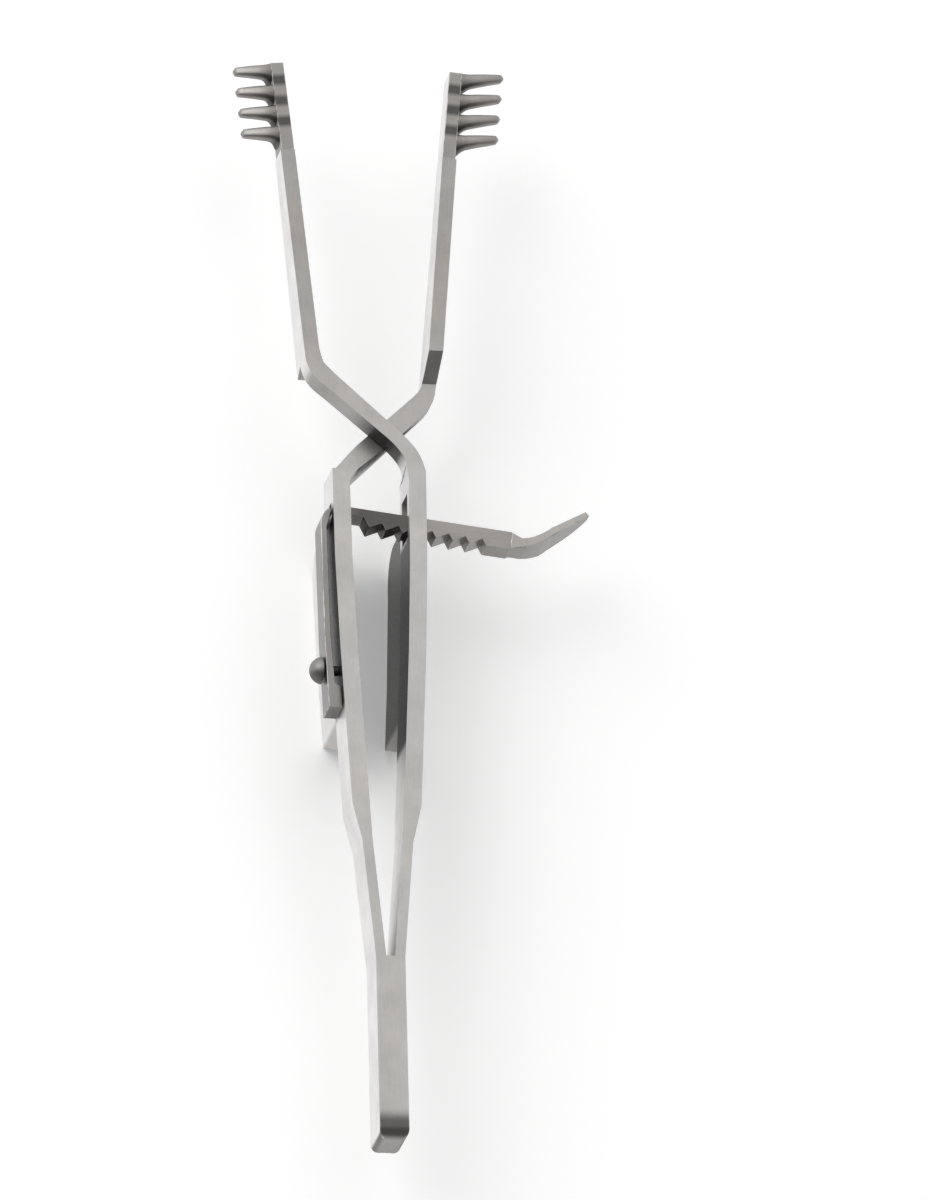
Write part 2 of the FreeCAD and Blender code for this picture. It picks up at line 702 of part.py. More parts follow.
def thumb_lever(doc):
    """Thin deep lever at the end of the bar, curving up towards the combs."""
    body = new_body(doc, "thumb_lever")
    start = "sizes.bar_length"
    end = "(sizes.bar_length + sizes.lever_length)"
    knee = "(sizes.bar_length + sizes.lever_length * sizes.lever_knee_share)"
    knee_rise = "sizes.lever_rise * sizes.lever_knee_rise_share"
    thick = "sizes.lever_thickness"
    slant = f"{thick} * sizes.lever_slant_share"
    back_bend = "sizes.lever_bend_radius * sizes.lever_back_bend_share"
    low = f"{TOOTH_LINE} + sizes.lever_neck_rise"
    corners = [
        (start, f"{TOOTH_LINE} + sizes.lever_root_inset"),
        (f"{start} + sizes.lever_neck_length", low, "left", "sizes.lever_bend_radius"),
        (f"{knee} + {slant}", knee_rise),
        (f"{end} + {slant}", f"sizes.lever_rise - {slant}"),
        (end, "sizes.lever_rise"),
        (knee, f"{knee_rise} + {thick}", "right", back_bend),
        (f"{start} + sizes.lever_step_length", "sizes.bar_top_offset - sizes.lever_step_drop"),
        (start, "sizes.bar_top_offset"),
    ]
    front = "sizes.overall_depth - sizes.bar_front_inset"
    floor = f"{front} - sizes.lever_depth"
    outline = draw(body, "lever_outline", "XY_Plane", corners, floor)
    pad(body, "lever_blank", outline, "sizes.lever_depth")
    widening = [
        (f"{start} - {CLEAR}", BAR_FLOOR),
        (f"{start} + sizes.lever_widening_start", BAR_FLOOR),
        (f"{start} + sizes.lever_widening_end", floor),
        (f"{start} + sizes.lever_widening_end", f"{floor} - {CLEAR}"),
        (f"{start} - {CLEAR}", f"{floor} - {CLEAR}"),
    ]
    pocket_through(body, "lever_widening", draw(body, "lever_widening_outline", "XZ_Plane", widening))
    reach = "sizes.lever_depth * sizes.lever_corner_share"
    tip = f"{end} + {slant}"
    beyond = f"{tip} + {CLEAR}"
    rounding = [
        (f"{tip} - {reach}", floor, "left", "sizes.lever_depth"),
        (tip, f"{floor} + {reach}"),
        (beyond, f"{floor} + {reach}"),
        (beyond, f"{floor} - {CLEAR}"),
        (f"{tip} - {reach}", f"{floor} - {CLEAR}"),
    ]
    pocket_through(body, "lever_rounding", draw(body, "lever_rounding_outline", "XZ_Plane", rounding))
    place_on_bar(body)
    return body


def ratchet_pivot_pin(doc):
    """Plain pin through the left handle and the eye of the bar, flush at both ends."""
    body = new_body(doc, "ratchet_pivot_pin")
    circle = draw_circle(
        body, "pin_outline", "XY_Plane", ("-sizes.pivot_reach", "sizes.pivot_station"), "sizes.pin_radius", ARM_FLOOR
    )
    pad(body, "pin_rod", circle, "sizes.arm_depth")
    return body


def leaf_spring(doc):
    """Bowed strip on the outer side of the left handle: a foot, the bow and a tip that bears on the bar."""
    body = new_body(doc, "leaf_spring")
    seat = "sizes.leaf_seat_gap"
    low = "sizes.leaf_low_station"
    foot_top = f"({low} + sizes.leaf_foot_height)"
    foot_face = f"({spread_at(low)} + sizes.handle_thickness + {seat})"
    foot_top_face = f"({spread_at(foot_top)} + sizes.handle_thickness + {seat})"
    bow_face = "(sizes.grip_low_spread + sizes.handle_thickness + sizes.leaf_bow)"
    top_face = "(sizes.grip_top_spread + sizes.handle_thickness)"
    thick = "sizes.leaf_thickness"
    tip = "(sizes.pivot_station + sizes.leaf_tip_overrun)"
    curl = f"{tip} - sizes.leaf_tip_length"
    tip_bow = "sizes.leaf_bow * sizes.leaf_tip_bow_share"
    foot_bow = "sizes.leaf_bow * sizes.leaf_foot_bow_share"
    corners = [
        (f"-{foot_face}", low),
        (f"-({foot_face} + {thick} + sizes.leaf_bow)", low),
        (f"-({bow_face} + {thick})", "sizes.grip_low_station + sizes.leaf_bend_offset"),
        (f"-({top_face} + {thick} + {tip_bow})", curl, "right", "sizes.leaf_tip_radius"),
        (f"-({top_face} + sizes.leaf_tip_gap)", tip),
        (f"-({top_face} + sizes.leaf_edge_gap)", f"{tip} - sizes.leaf_edge_height"),
        (f"-({top_face} + {tip_bow})", curl),
        (f"-{bow_face}", "sizes.grip_low_station + sizes.leaf_bend_offset"),
        (f"-({foot_top_face} + {foot_bow})", f"{foot_top} + sizes.leaf_foot_slope_height"),
        (f"-{foot_top_face}", foot_top),
    ]
    outline = draw(body, "leaf_outline", "XY_Plane", corners, f"{BAR_MIDDLE} - sizes.leaf_width / 2")
    pad(body, "leaf_strip", outline, "sizes.leaf_width")
    hole = draw_circle(
        body, "leaf_hole_outline", "YZ_Plane", ("sizes.screw_station", BAR_MIDDLE),
        "sizes.screw_shank_radius + sizes.leaf_hole_clearance"
    )
    pocket_through(body, "leaf_hole", hole)
    return body


def spring_screw(doc):
    """Dome-headed screw, turned about its own axis and laid along X."""
    body = new_body(doc, "spring_screw")
    height = "sizes.screw_head_height"
    radius = "sizes.screw_head_radius"
    dome = f"({radius} * {radius} + {height} * {height}) / (2 * {height})"
    shank = "(sizes.handle_thickness - sizes.shank_inset + sizes.leaf_bow + sizes.leaf_thickness)"
    corners = [
        ("0", f"-{shank}"),
        ("sizes.screw_shank_radius", f"-{shank}"),
        ("sizes.screw_shank_radius", "0"),
        (radius, "0", "left", dome),
        ("0", height),
    ]
    profile = draw(body, "screw_profile", "XZ_Plane", corners)
    turned = body.newObject("PartDesign::Revolution", "screw_turning")
    turned.Profile = profile
    turned.ReferenceAxis = (profile, ["V_Axis"])
    turned.Angle = 360
    rise = "(sizes.grip_low_station + sizes.leaf_bend_offset - sizes.leaf_low_station)"
    share = f"((sizes.screw_station - sizes.leaf_low_station) / {rise})"
    foot_face = f"({spread_at('sizes.leaf_low_station')} + sizes.handle_thickness)"
    bow_face = "(sizes.grip_low_spread + sizes.handle_thickness)"
    face = f"({foot_face} + ({bow_face} - {foot_face}) * {share} + sizes.leaf_bow + sizes.leaf_thickness)"
    place(body, f"-({face} + sizes.screw_clearance)", "sizes.screw_station", BAR_MIDDLE)
    body.Placement.Rotation = FreeCAD.Rotation(FreeCAD.Vector(0, 1, 0), -90)
    return body


def check_and_write(doc, pieces):
    """Stop on any failed feature or bad solid, then write one file for each piece."""
    for item in doc.Objects:
        if "Invalid" in item.State or "Error" in item.State:
            raise RuntimeError(f"{item.Label} failed: {item.State}")
    for piece in pieces:
        if piece.Shape.isNull() or not piece.Shape.isValid() or not piece.Shape.Solids:
            raise RuntimeError(f"{piece.Label} has no valid solid")
    os.makedirs("parts", exist_ok=True)
    for piece in pieces:
        piece.Shape.exportStep(f"parts/{piece.Label}.step")
        box = piece.Shape.BoundBox
        print(
            f"{piece.Label}: {piece.Shape.Volume:.2f} mm3, {len(piece.Shape.Solids)} solid, "
            f"x {box.XMin:.2f} {box.XMax:.2f}, y {box.YMin:.2f} {box.YMax:.2f}, z {box.ZMin:.2f} {box.ZMax:.2f}"
        )


def centre_on_origin(doc, sheet, pieces):
    """Move all pieces together until the origin lies below the middle of the whole retractor."""
    box = FreeCAD.BoundBox()
    for piece in pieces:
        box.add(piece.Shape.BoundBox)
    sheet.set("centre_x", str(box.Center.x))
    sheet.set("centre_y", str(box.Center.y))
    doc.recompute()


def main():
    """Build every piece of the retractor and write its files."""
    doc = FreeCAD.newDocument("retractor")
    sheet = make_sheet(doc)
    left_arm = arm(doc, -1, "left_arm", "rear")
    half_lap(left_arm, "left_arm", "rear")
    pivot_seat(left_arm)
    right_arm = arm(doc, 1, "right_arm", "front")
    half_lap(right_arm, "right_arm", "front")
    ratchet_window(right_arm)
    pieces = [
        heel_spacer(doc),
        heel_leg(doc, -1, "left_heel_leg"),
        heel_leg(doc, 1, "right_heel_leg"),
        left_arm,
        right_arm,
        finger_plate(doc, -1, "left_finger_plate"),
        finger_plate(doc, 1, "right_finger_plate"),
        comb(doc, -1, "left_comb", "front"),
        comb(doc, 1, "right_comb", "rear"),
        ratchet_bar(doc),
        thumb_lever(doc),
        ratchet_pivot_pin(doc),
        leaf_spring(doc),
        spring_screw(doc),
    ]
    doc.recompute()
    centre_on_origin(doc, sheet, pieces)
    check_and_write(doc, pieces)


main()
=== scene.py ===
"""Finished look of a small cross-action retractor: strips, combs, plates, bar, spring and screw.

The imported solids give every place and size. Lengths in the sizes below are in millimetres
of the real object, and meshes are made in metres in the solids' own frame: Y runs from the heel
to the combs, X towards the thumb lever and Z up from the tray that the finger plates lie on.
"""

import json
import math

import bmesh
import bpy
from bpy.props import FloatProperty, FloatVectorProperty, IntProperty, PointerProperty
from bpy.types import Operator, Panel, PropertyGroup
from mathutils import Matrix, Vector


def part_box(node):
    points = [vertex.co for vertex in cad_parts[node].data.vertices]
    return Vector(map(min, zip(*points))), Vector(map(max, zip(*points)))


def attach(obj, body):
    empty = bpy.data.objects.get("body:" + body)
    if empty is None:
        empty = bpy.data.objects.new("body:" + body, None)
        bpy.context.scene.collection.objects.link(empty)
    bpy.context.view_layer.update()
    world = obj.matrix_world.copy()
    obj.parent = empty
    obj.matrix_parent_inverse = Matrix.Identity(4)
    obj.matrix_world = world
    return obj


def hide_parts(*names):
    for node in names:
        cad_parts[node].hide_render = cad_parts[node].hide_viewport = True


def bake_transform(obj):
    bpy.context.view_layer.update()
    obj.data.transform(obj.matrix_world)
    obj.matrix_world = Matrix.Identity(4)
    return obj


bl_info = {
    "name": "Cross-Action Retractor",
    "version": (1, 0, 0),
    "blender": (4, 5, 0),
    "location": "View3D > Sidebar > Retractor",
    "description": "Builds the finished pieces, steels and studio of a small self-retaining retractor",
    "category": "Object",
}

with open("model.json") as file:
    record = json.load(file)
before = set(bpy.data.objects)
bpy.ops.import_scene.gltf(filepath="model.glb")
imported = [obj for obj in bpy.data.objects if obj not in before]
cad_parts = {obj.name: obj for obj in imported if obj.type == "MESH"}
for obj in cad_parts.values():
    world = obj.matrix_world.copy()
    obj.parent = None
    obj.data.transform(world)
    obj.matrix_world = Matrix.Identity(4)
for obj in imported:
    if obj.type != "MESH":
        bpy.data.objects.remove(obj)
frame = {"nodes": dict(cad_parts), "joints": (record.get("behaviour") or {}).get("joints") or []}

MM = 0.001
MERGE_DISTANCE = 0.002 * MM
CUT_DISTANCE = 1e-7
TOUCHING = 0.03 * MM
FLAT_ANGLE = math.radians(0.6)
EDGE_ANGLE = math.radians(28)
SHARP_ANGLE = math.radians(42)
HEEL_TO_COMBS = Vector((0.0, 1.0, 0.0))

# The slit between a heel leg and its arm, which the springy strips close, is within this of the joint.
SEAM_HALF = 0.07 * MM
HEEL_PROUD = 0.012 * MM
SHOULDER_PAST_JOINT = 5.8 * MM
STRIP_CUTS = 9
BEND_LEAST = math.radians(5)
BEND_MOST = math.radians(60)
BEND_REACH = 1.0 * MM

# Rings along a prong, and how many millimetres of it are sunk in the spine.
PRONG_STEPS = 18
PRONG_SUNK = 0.35

# A station further than any point of the object, in metres.
EVERYWHERE = 1.0
FLOOR_HALF = 3.0
LAMP_WIDTH = 0.8
PHOTO_HEIGHT_PX = 1200
SENSOR_MM = 36.0
WEAR_LAYER = "worn_edge"
# Layer of painted shade near the prongs' roots and on the spine between them.
ROOT_SHADE_LAYER = "prong_root_painted_shade"
COLOUR = "NodeSocketColor"
VECTOR = "NodeSocketVector"
NUMBER = "NodeSocketFloat"
GEOMETRY = "NodeSocketGeometry"

# A Mix node's first, second and result socket for each kind of value.
MIX_SOCKETS = {"FLOAT": (2, 3, 0), "RGBA": (6, 7, 2)}


class RetractorSteel(PropertyGroup):
    """Colours and surface of the steels."""

    handle_colour: FloatVectorProperty(
        name="Handle steel", description="Colour of the satin strips at the handles",
        subtype="COLOR", size=3, min=0.0, max=1.0, default=(0.47, 0.455, 0.44),
    )
    blade_colour: FloatVectorProperty(
        name="Blade steel", description="Colour of the strips and combs at the working end",
        subtype="COLOR", size=3, min=0.0, max=1.0, default=(0.34, 0.325, 0.31),
    )
    plate_colour: FloatVectorProperty(
        name="Plate steel", description="Colour of the finger plates",
        subtype="COLOR", size=3, min=0.0, max=1.0, default=(0.47, 0.45, 0.43),
    )
    bar_colour: FloatVectorProperty(
        name="Bar steel", description="Colour of the ratchet bar and the thumb lever",
        subtype="COLOR", size=3, min=0.0, max=1.0, default=(0.36, 0.345, 0.33),
    )
    spring_colour: FloatVectorProperty(
        name="Spring steel", description="Colour of the leaf spring",
        subtype="COLOR", size=3, min=0.0, max=1.0, default=(0.26, 0.25, 0.24),
    )
    screw_colour: FloatVectorProperty(
        name="Screw steel", description="Colour of the spring screw",
        subtype="COLOR", size=3, min=0.0, max=1.0, default=(0.30, 0.29, 0.28),
    )
    worn_colour: FloatVectorProperty(
        name="Worn edge", description="Colour of edges that handling has polished",
        subtype="COLOR", size=3, min=0.0, max=1.0, default=(0.78, 0.76, 0.73),
    )
    # Painted reflection: near-white colour painted on faces that look left, standing in for the lit floor
    # they reflect.
    painted_bright_side_colour: FloatVectorProperty(
        name="Painted bright sides", description="Colour painted on the left-facing sides as a reflection of the bright floor",
        subtype="COLOR", size=3, min=0.0, max=1.0, default=(0.85, 0.84, 0.83),
    )
    # Painted shade: dark colour painted on faces that look to the heel and on sides hidden between the
    # pieces, where shade falls.
    painted_shade_colour: FloatVectorProperty(
        name="Painted shade colour", description="Colour painted as shade on faces between the pieces and facing the heel",
        subtype="COLOR", size=3, min=0.0, max=1.0, default=(0.03, 0.028, 0.027),
    )
    satin_roughness: FloatProperty(
        name="Satin roughness", description="Roughness of the satin faces",
        subtype="FACTOR", min=0.05, max=1.0, default=0.42,
    )


class RetractorEdges(PropertyGroup):
    """Widths of the small rounded edges."""

    strip_edge: FloatProperty(
        name="Strip edge", description="Rounding of the arms' long edges in millimetres",
        min=0.01, max=0.3, default=0.09,
    )
    plate_edge: FloatProperty(
        name="Plate edge", description="Rounding of the finger plates' edges in millimetres",
        min=0.01, max=0.3, default=0.08,
    )
    bar_edge: FloatProperty(
        name="Bar edge", description="Rounding of the ratchet bar's edges in millimetres",
        min=0.01, max=0.3, default=0.05,
    )
    lever_edge: FloatProperty(
        name="Lever edge", description="Rounding of the thumb lever's edges in millimetres",
        min=0.01, max=0.3, default=0.10,
    )
    spring_edge: FloatProperty(
        name="Spring edge", description="Rounding of the leaf spring's edges in millimetres",
        min=0.01, max=0.3, default=0.07,
    )


class RetractorCombs(PropertyGroup):
    """Sizes of the pronged combs."""

    prongs: IntProperty(
        name="Prongs", description="Number of prongs on each comb", min=1, max=8, default=4,
    )
    pitch: FloatProperty(
        name="Prong pitch", description="Distance between two prongs in millimetres",
        min=0.5, max=5.0, default=2.17,
    )
    root_width: FloatProperty(
        name="Prong width", description="Width of a prong just past its root in millimetres",
        min=0.3, max=3.0, default=1.5,
    )
    tip_width: FloatProperty(
        name="Prong tip", description="Width of a prong's tip in millimetres",
        min=0.1, max=2.0, default=0.8,
    )
    tip_depth: FloatProperty(
        name="Tip depth", description="Height of a prong's tip in millimetres",
        min=0.1, max=2.0, default=0.7,
    )
    middle_depth: FloatProperty(
        name="Prong depth", description="Height of a prong just past its root in millimetres",
        min=0.3, max=3.0, default=1.6,
    )
    root_flare: FloatProperty(
        name="Root flare", description="Width that the root adds where it meets the spine, in millimetres",
        min=0.0, max=1.0, default=0.6,
    )
    right_lift: FloatProperty(
        name="Right prongs' lift", description="How far the right tips rise along the blade in millimetres",
        min=-2.0, max=2.0, default=1.0,
    )
    right_reach: FloatProperty(
        name="Right prongs' reach", description="How far the right prongs pass their solid in millimetres",
        min=0.0, max=1.0, default=0.4,
    )
    drop: FloatProperty(
        name="Prong drop", description="How far a prong's tip curves down in millimetres",
        min=0.0, max=3.0, default=1.2,
    )
    spine: FloatProperty(
        name="Comb spine", description="Width of the solid strip that the prongs leave, in millimetres",
        min=0.3, max=3.0, default=1.3,
    )


class RetractorStudio(PropertyGroup):
    """Camera, lamps and floor."""

    azimuth: FloatProperty(
        name="Azimuth", description="Camera's direction round the object",
        subtype="ANGLE", default=math.radians(-27.0),
    )
    elevation: FloatProperty(
        name="Elevation", description="Camera's height above the tray",
        subtype="ANGLE", default=math.radians(66.5),
    )
    roll: FloatProperty(
        name="Lean", description="How far the object's long axis leans in the picture",
        subtype="ANGLE", default=math.radians(-1.47),
    )
    distance: FloatProperty(
        name="Distance", description="Distance from the camera to the object",
        subtype="DISTANCE", unit="LENGTH", min=0.2, max=5.0, default=1.5,
    )
    pixels_per_mm: FloatProperty(
        name="Picture scale", description="Picture points for each millimetre of the object",
        min=1.0, max=50.0, default=10.38,
    )
    aim_right: FloatProperty(
        name="Aim right", description="Shift of the picture's middle to the right in millimetres",
        min=-50.0, max=50.0, default=4.5,
    )
    aim_up: FloatProperty(
        name="Aim up", description="Shift of the picture's middle upwards in millimetres",
        min=-50.0, max=50.0, default=0.31,
    )
    floor_colour: FloatVectorProperty(
        name="Floor", description="Colour of the pale floor",
        subtype="COLOR", size=3, min=0.0, max=1.0, default=(0.93, 0.93, 0.93),
    )
    floor_glow: FloatProperty(
        name="Floor glow", description="White added to the floor as the camera and the steel see it",
        min=0.0, max=1.0, default=0.24,
    )
    key_power: FloatProperty(
        name="Key lamp", description="Power of the large soft lamp on the left",
        subtype="POWER", unit="POWER", min=0.0, max=100.0, default=4.0,
    )
    fill_power: FloatProperty(
        name="Fill lamp", description="Power of the soft lamp beyond the combs",
        subtype="POWER", unit="POWER", min=0.0, max=100.0, default=1.2,
    )
    sky_strength: FloatProperty(
        name="Sky", description="Strength of the even light from all round",
        min=0.0, max=5.0, default=0.78,
    )


def settings():
    """The scene's property groups."""
    scene = bpy.context.scene
    return scene.retractor_steel, scene.retractor_edges, scene.retractor_combs, scene.retractor_studio


def new_group(name, kind, inputs, outputs):
    """Empty node group with named sockets, and the sockets of its entry and exit."""
    made = bpy.data.node_groups.new(name, kind)
    for in_out, sockets in (("INPUT", inputs), ("OUTPUT", outputs)):
        for label, socket_kind, *default in sockets:
            item = made.interface.new_socket(name=label, in_out=in_out, socket_type=socket_kind)
            if default:
                item.default_value = default[0]
    return made, made.nodes.new("NodeGroupInput").outputs, made.nodes.new("NodeGroupOutput").inputs


def node(tree, kind, values=None, **properties):
    """Add a node, set its properties, and link or set its inputs by name or number."""
    made = tree.nodes.new(kind)
    for key, value in properties.items():
        setattr(made, key, value)
    for key, value in (values or {}).items():
        if isinstance(value, bpy.types.NodeSocket):
            tree.links.new(value, made.inputs[key])
        else:
            made.inputs[key].default_value = value
    return made


def join(tree, *pairs):
    """Link each pair of output and input."""
    for source, target in pairs:
        tree.links.new(source, target)


def maths(tree, operation, first, second):
    """Result of a sum on two sockets or numbers."""
    return node(tree, "ShaderNodeMath", {0: first, 1: second}, operation=operation).outputs[0]


def ranged(tree, value, low, high, to_low=0.0, to_high=1.0, kind="LINEAR"):
    """Value carried from one range to another and held at its ends."""
    return node(tree, "ShaderNodeMapRange", {
        "Value": value, "From Min": low, "From Max": high, "To Min": to_low, "To Max": to_high,
    }, interpolation_type=kind).outputs[0]


def noise(tree, place, scale, detail, roughness=0.5):
    """Value of a noise pattern at a place."""
    return node(tree, "ShaderNodeTexNoise", {
        "Vector": place, "Scale": scale, "Detail": detail, "Roughness": roughness,
    }).outputs[0]


def mix(tree, kind, amount, first, second):
    """Mixture of two sockets or values of a kind."""
    from_first, from_second, result = MIX_SOCKETS[kind]
    values = {0: amount, from_first: first, from_second: second}
    return node(tree, "ShaderNodeMix", values, data_type=kind).outputs[result]


def grain_group():
    """Fine lengthwise grain and cloudy tone of satin steel, shared by every steel."""
    made = bpy.data.node_groups.get("SatinGrain")
    if made:
        return made
    made, entry, leave = new_group(
        "SatinGrain", "ShaderNodeTree",
        [("Vector", VECTOR), ("Across", NUMBER, 9000.0), ("Along", NUMBER, 350.0)],
        [("Tone", NUMBER), ("Height", NUMBER), ("Speckle", NUMBER)],
    )
    scale = node(made, "ShaderNodeCombineXYZ", {
        "X": entry["Across"], "Y": entry["Along"], "Z": entry["Across"],
    })
    stretched = node(
        made, "ShaderNodeVectorMath", {0: entry["Vector"], 1: scale.outputs[0]}, operation="MULTIPLY",
    )
    lines = noise(made, stretched.outputs[0], 1.0, 3.0, 0.6)
    clouds = noise(made, entry["Vector"], 260.0, 4.0, 0.55)
    specks = noise(made, entry["Vector"], 5200.0, 2.0, 0.7)
    tone = maths(made, "ADD", maths(made, "MULTIPLY", clouds, 0.65), maths(made, "MULTIPLY", lines, 0.35))
    join(made, (tone, leave["Tone"]), (lines, leave["Height"]), (specks, leave["Speckle"]))
    return made


def wear_group():
    """Brighter, smoother steel where handling has polished the rounded edges."""
    made = bpy.data.node_groups.get("WornEdges")
    if made:
        return made
    made, entry, leave = new_group(
        "WornEdges", "ShaderNodeTree",
        [
            ("Colour", COLOUR), ("Worn colour", COLOUR), ("Roughness", NUMBER, 0.4),
            ("Worn roughness", NUMBER, 0.25), ("Amount", NUMBER, 0.6), ("Vector", VECTOR),
        ],
        [("Colour", COLOUR), ("Roughness", NUMBER)],
    )
    edge = node(made, "ShaderNodeAttribute", attribute_name=WEAR_LAYER).outputs["Fac"]
    rubbed = ranged(made, noise(made, entry["Vector"], 900.0, 3.0), 0.35, 0.62)
    amount = maths(made, "MULTIPLY", maths(made, "MULTIPLY", edge, rubbed), entry["Amount"])
    colour = mix(made, "RGBA", amount, entry["Colour"], entry["Worn colour"])
    rough = mix(made, "FLOAT", amount, entry["Roughness"], entry["Worn roughness"])
    join(made, (colour, leave["Colour"]), (rough, leave["Roughness"]))
    return made


def side_group():
    """Painted shade and painted bright reflections on the sides, chosen by the way that a face looks.

    Faces that look to the heel, up and to the thumb lever take painted shade by the heel, front and right
    amount. The first two are full round the middle of the painted shade, fall to the far amount beyond it
    and return at the heel's end. Faces that look left take the left painted tone between the low and the
    high end, and the tone beyond elsewhere.
    """
    made = bpy.data.node_groups.get("PaintedSideLightAndShade")
    if made:
        return made
    colours = ("Colour", "Stain", "Left colour", "Left colour beyond")
    vectors = ("Vector", "Normal", "Stain middle")
    numbers = ("Heel stain", "Front stain", "Far stain", "Right stain", "Left amount", "Low end", "High end")
    kinds = ((colours, COLOUR), (vectors, VECTOR), (numbers, NUMBER))
    inputs = [(label, kind) for labels, kind in kinds for label in labels]
    made, entry, leave = new_group(
        "PaintedSideLightAndShade", "ShaderNodeTree", [*inputs, ("Heel end", NUMBER, -1.0)], [("Colour", COLOUR)],
    )
    station = node(made, "ShaderNodeSeparateXYZ", {0: entry["Vector"]}).outputs["Y"]
    facing = node(made, "ShaderNodeSeparateXYZ", {0: entry["Normal"]}).outputs

    # Painted shade on faces that look to the heel: full on slanted faces, about half on faces that look
    # straight back.
    heelward = node(made, "ShaderNodeValToRGB", {"Fac": ranged(made, facing["Y"], -1.0, 1.0)})
    ramp = heelward.color_ramp.elements
    ramp[0].position, ramp[0].color = 0.0, (0.55, 0.55, 0.55, 1.0)
    ramp[1].position, ramp[1].color = 0.45, (0.0, 0.0, 0.0, 1.0)
    for position in (0.08, 0.3):
        ramp.new(position).color = (1.0, 1.0, 1.0, 1.0)
    upward = ranged(made, facing["Z"], 0.6, 0.9)
    away = node(
        made, "ShaderNodeVectorMath", {0: entry["Vector"], 1: entry["Stain middle"]}, operation="DISTANCE",
    )
    spread = ranged(made, away.outputs["Value"], 2.0 * MM, 5.5 * MM, 1.0, entry["Far stain"], "SMOOTHSTEP")
    past_end = maths(made, "SUBTRACT", station, entry["Heel end"])
    where = maths(made, "MAXIMUM", spread, ranged(made, past_end, 4.0 * MM, 3.0 * MM, 0.0, 0.75))
    # Painted dark band across the faces that look up, just short of the heel's end.
    band = ranged(made, past_end, 2.9 * MM, 1.5 * MM, 0.0, 0.85, "SMOOTHSTEP")
    painted_shade_mask = maths(
        made, "MAXIMUM",
        maths(made, "MULTIPLY", heelward.outputs[0], where), maths(made, "MULTIPLY", band, upward),
    )
    dark = maths(
        made, "MAXIMUM",
        maths(made, "MULTIPLY", painted_shade_mask, entry["Heel stain"]),
        maths(made, "MULTIPLY", maths(made, "MULTIPLY", upward, where), entry["Front stain"]),
    )
    tone = mix(made, "RGBA", dark, entry["Colour"], entry["Stain"])

    # Painted shade on faces that look towards the thumb lever.
    rightward = ranged(made, facing["X"], 0.8, 0.97)
    tone = mix(made, "RGBA", maths(made, "MULTIPLY", rightward, entry["Right stain"]), tone, entry["Stain"])

    # Faces that look left take one painted tone between the low and the high end, and another beyond it.
    soft = 0.4 * MM
    past_low = ranged(made, maths(made, "SUBTRACT", station, entry["Low end"]), -soft, soft)
    short_of_high = ranged(made, maths(made, "SUBTRACT", entry["High end"], station), -soft, soft)
    within = maths(made, "MULTIPLY", past_low, short_of_high)
    side = mix(made, "RGBA", within, entry["Left colour beyond"], entry["Left colour"])
    leftward = ranged(made, facing["X"], -0.8, -0.97)
    tone = mix(made, "RGBA", maths(made, "MULTIPLY", leftward, entry["Left amount"]), tone, side)
    join(made, (tone, leave["Colour"]))
    return made


def steel(name, colour, far_colour, roughness, across=9000.0, along=350.0, wear=0.55,
          heel_layer=None, **sides):
    """Satin steel with grain, cloudy tone, worn edges, painted shade and painted bright reflections.

    far_colour is its colour past the bar, towards the combs. sides holds values for the painted shade and
    the painted bright reflections on the sides; the layer argument names the layer whose value says how
    strongly the faces that look to the heel and up take painted shade.
    """
    look = settings()[0]
    made = bpy.data.materials.new(name)
    made.use_nodes = True
    tree = made.node_tree
    tree.nodes.clear()
    place = node(tree, "ShaderNodeTexCoord").outputs
    grain = node(tree, "ShaderNodeGroup", {
        "Vector": place["Object"], "Across": across, "Along": along,
    }, node_tree=grain_group()).outputs
    station = node(tree, "ShaderNodeSeparateXYZ", {0: place["Object"]}).outputs["Y"]
    past_bar = ranged(tree, station, 8.0 * MM, 34.0 * MM, kind="SMOOTHSTEP")
    # Painted shade and painted bright reflections on the sides, as the side group paints them.
    tones = node(tree, "ShaderNodeGroup", {
        "Vector": place["Object"], "Normal": place["Normal"], "Stain": (*look.painted_shade_colour, 1.0),
        "Colour": mix(tree, "RGBA", past_bar, (*colour, 1.0), (*(far_colour or colour), 1.0)),
    }, node_tree=side_group())
    for key, value in sides.items():
        entry = tones.inputs[key.replace("_", " ").capitalize()]
        entry.default_value = (*value, 1.0) if entry.type == "RGBA" else value
    # The layer's value sets the painted shade on faces that look to the heel and up.
    if heel_layer:
        shade = node(tree, "ShaderNodeAttribute", attribute_name=heel_layer).outputs["Fac"]
        join(
            tree,
            (ranged(tree, shade, 0.0, 1.0, 0.2, 0.95), tones.inputs["Heel stain"]),
            (ranged(tree, shade, 0.2, 1.0, 0.0, 0.8), tones.inputs["Front stain"]),
        )
    cloudy = ranged(tree, grain["Tone"], 0.3, 0.7, 0.86, 1.1)
    toned = node(tree, "ShaderNodeVectorMath", {0: tones.outputs[0], "Scale": cloudy}, operation="SCALE")
    wearing = node(tree, "ShaderNodeGroup", {
        "Vector": place["Object"], "Colour": toned.outputs[0], "Amount": wear,
        "Roughness": ranged(tree, grain["Speckle"], 0.3, 0.7, roughness - 0.05, roughness + 0.07),
        "Worn colour": (*look.worn_colour, 1.0), "Worn roughness": roughness * 0.7,
    }, node_tree=wear_group()).outputs
    relief = maths(tree, "ADD", grain["Height"], grain["Speckle"])
    bump = node(tree, "ShaderNodeBump", {"Height": relief, "Strength": 0.12, "Distance": 0.02 * MM})
    metal = node(tree, "ShaderNodeBsdfPrincipled", {
        "Base Color": wearing["Colour"], "Metallic": 1.0, "Roughness": wearing["Roughness"],
        "Normal": bump.outputs[0],
    })
    node(tree, "ShaderNodeOutputMaterial", {"Surface": metal.outputs[0]})
    return made


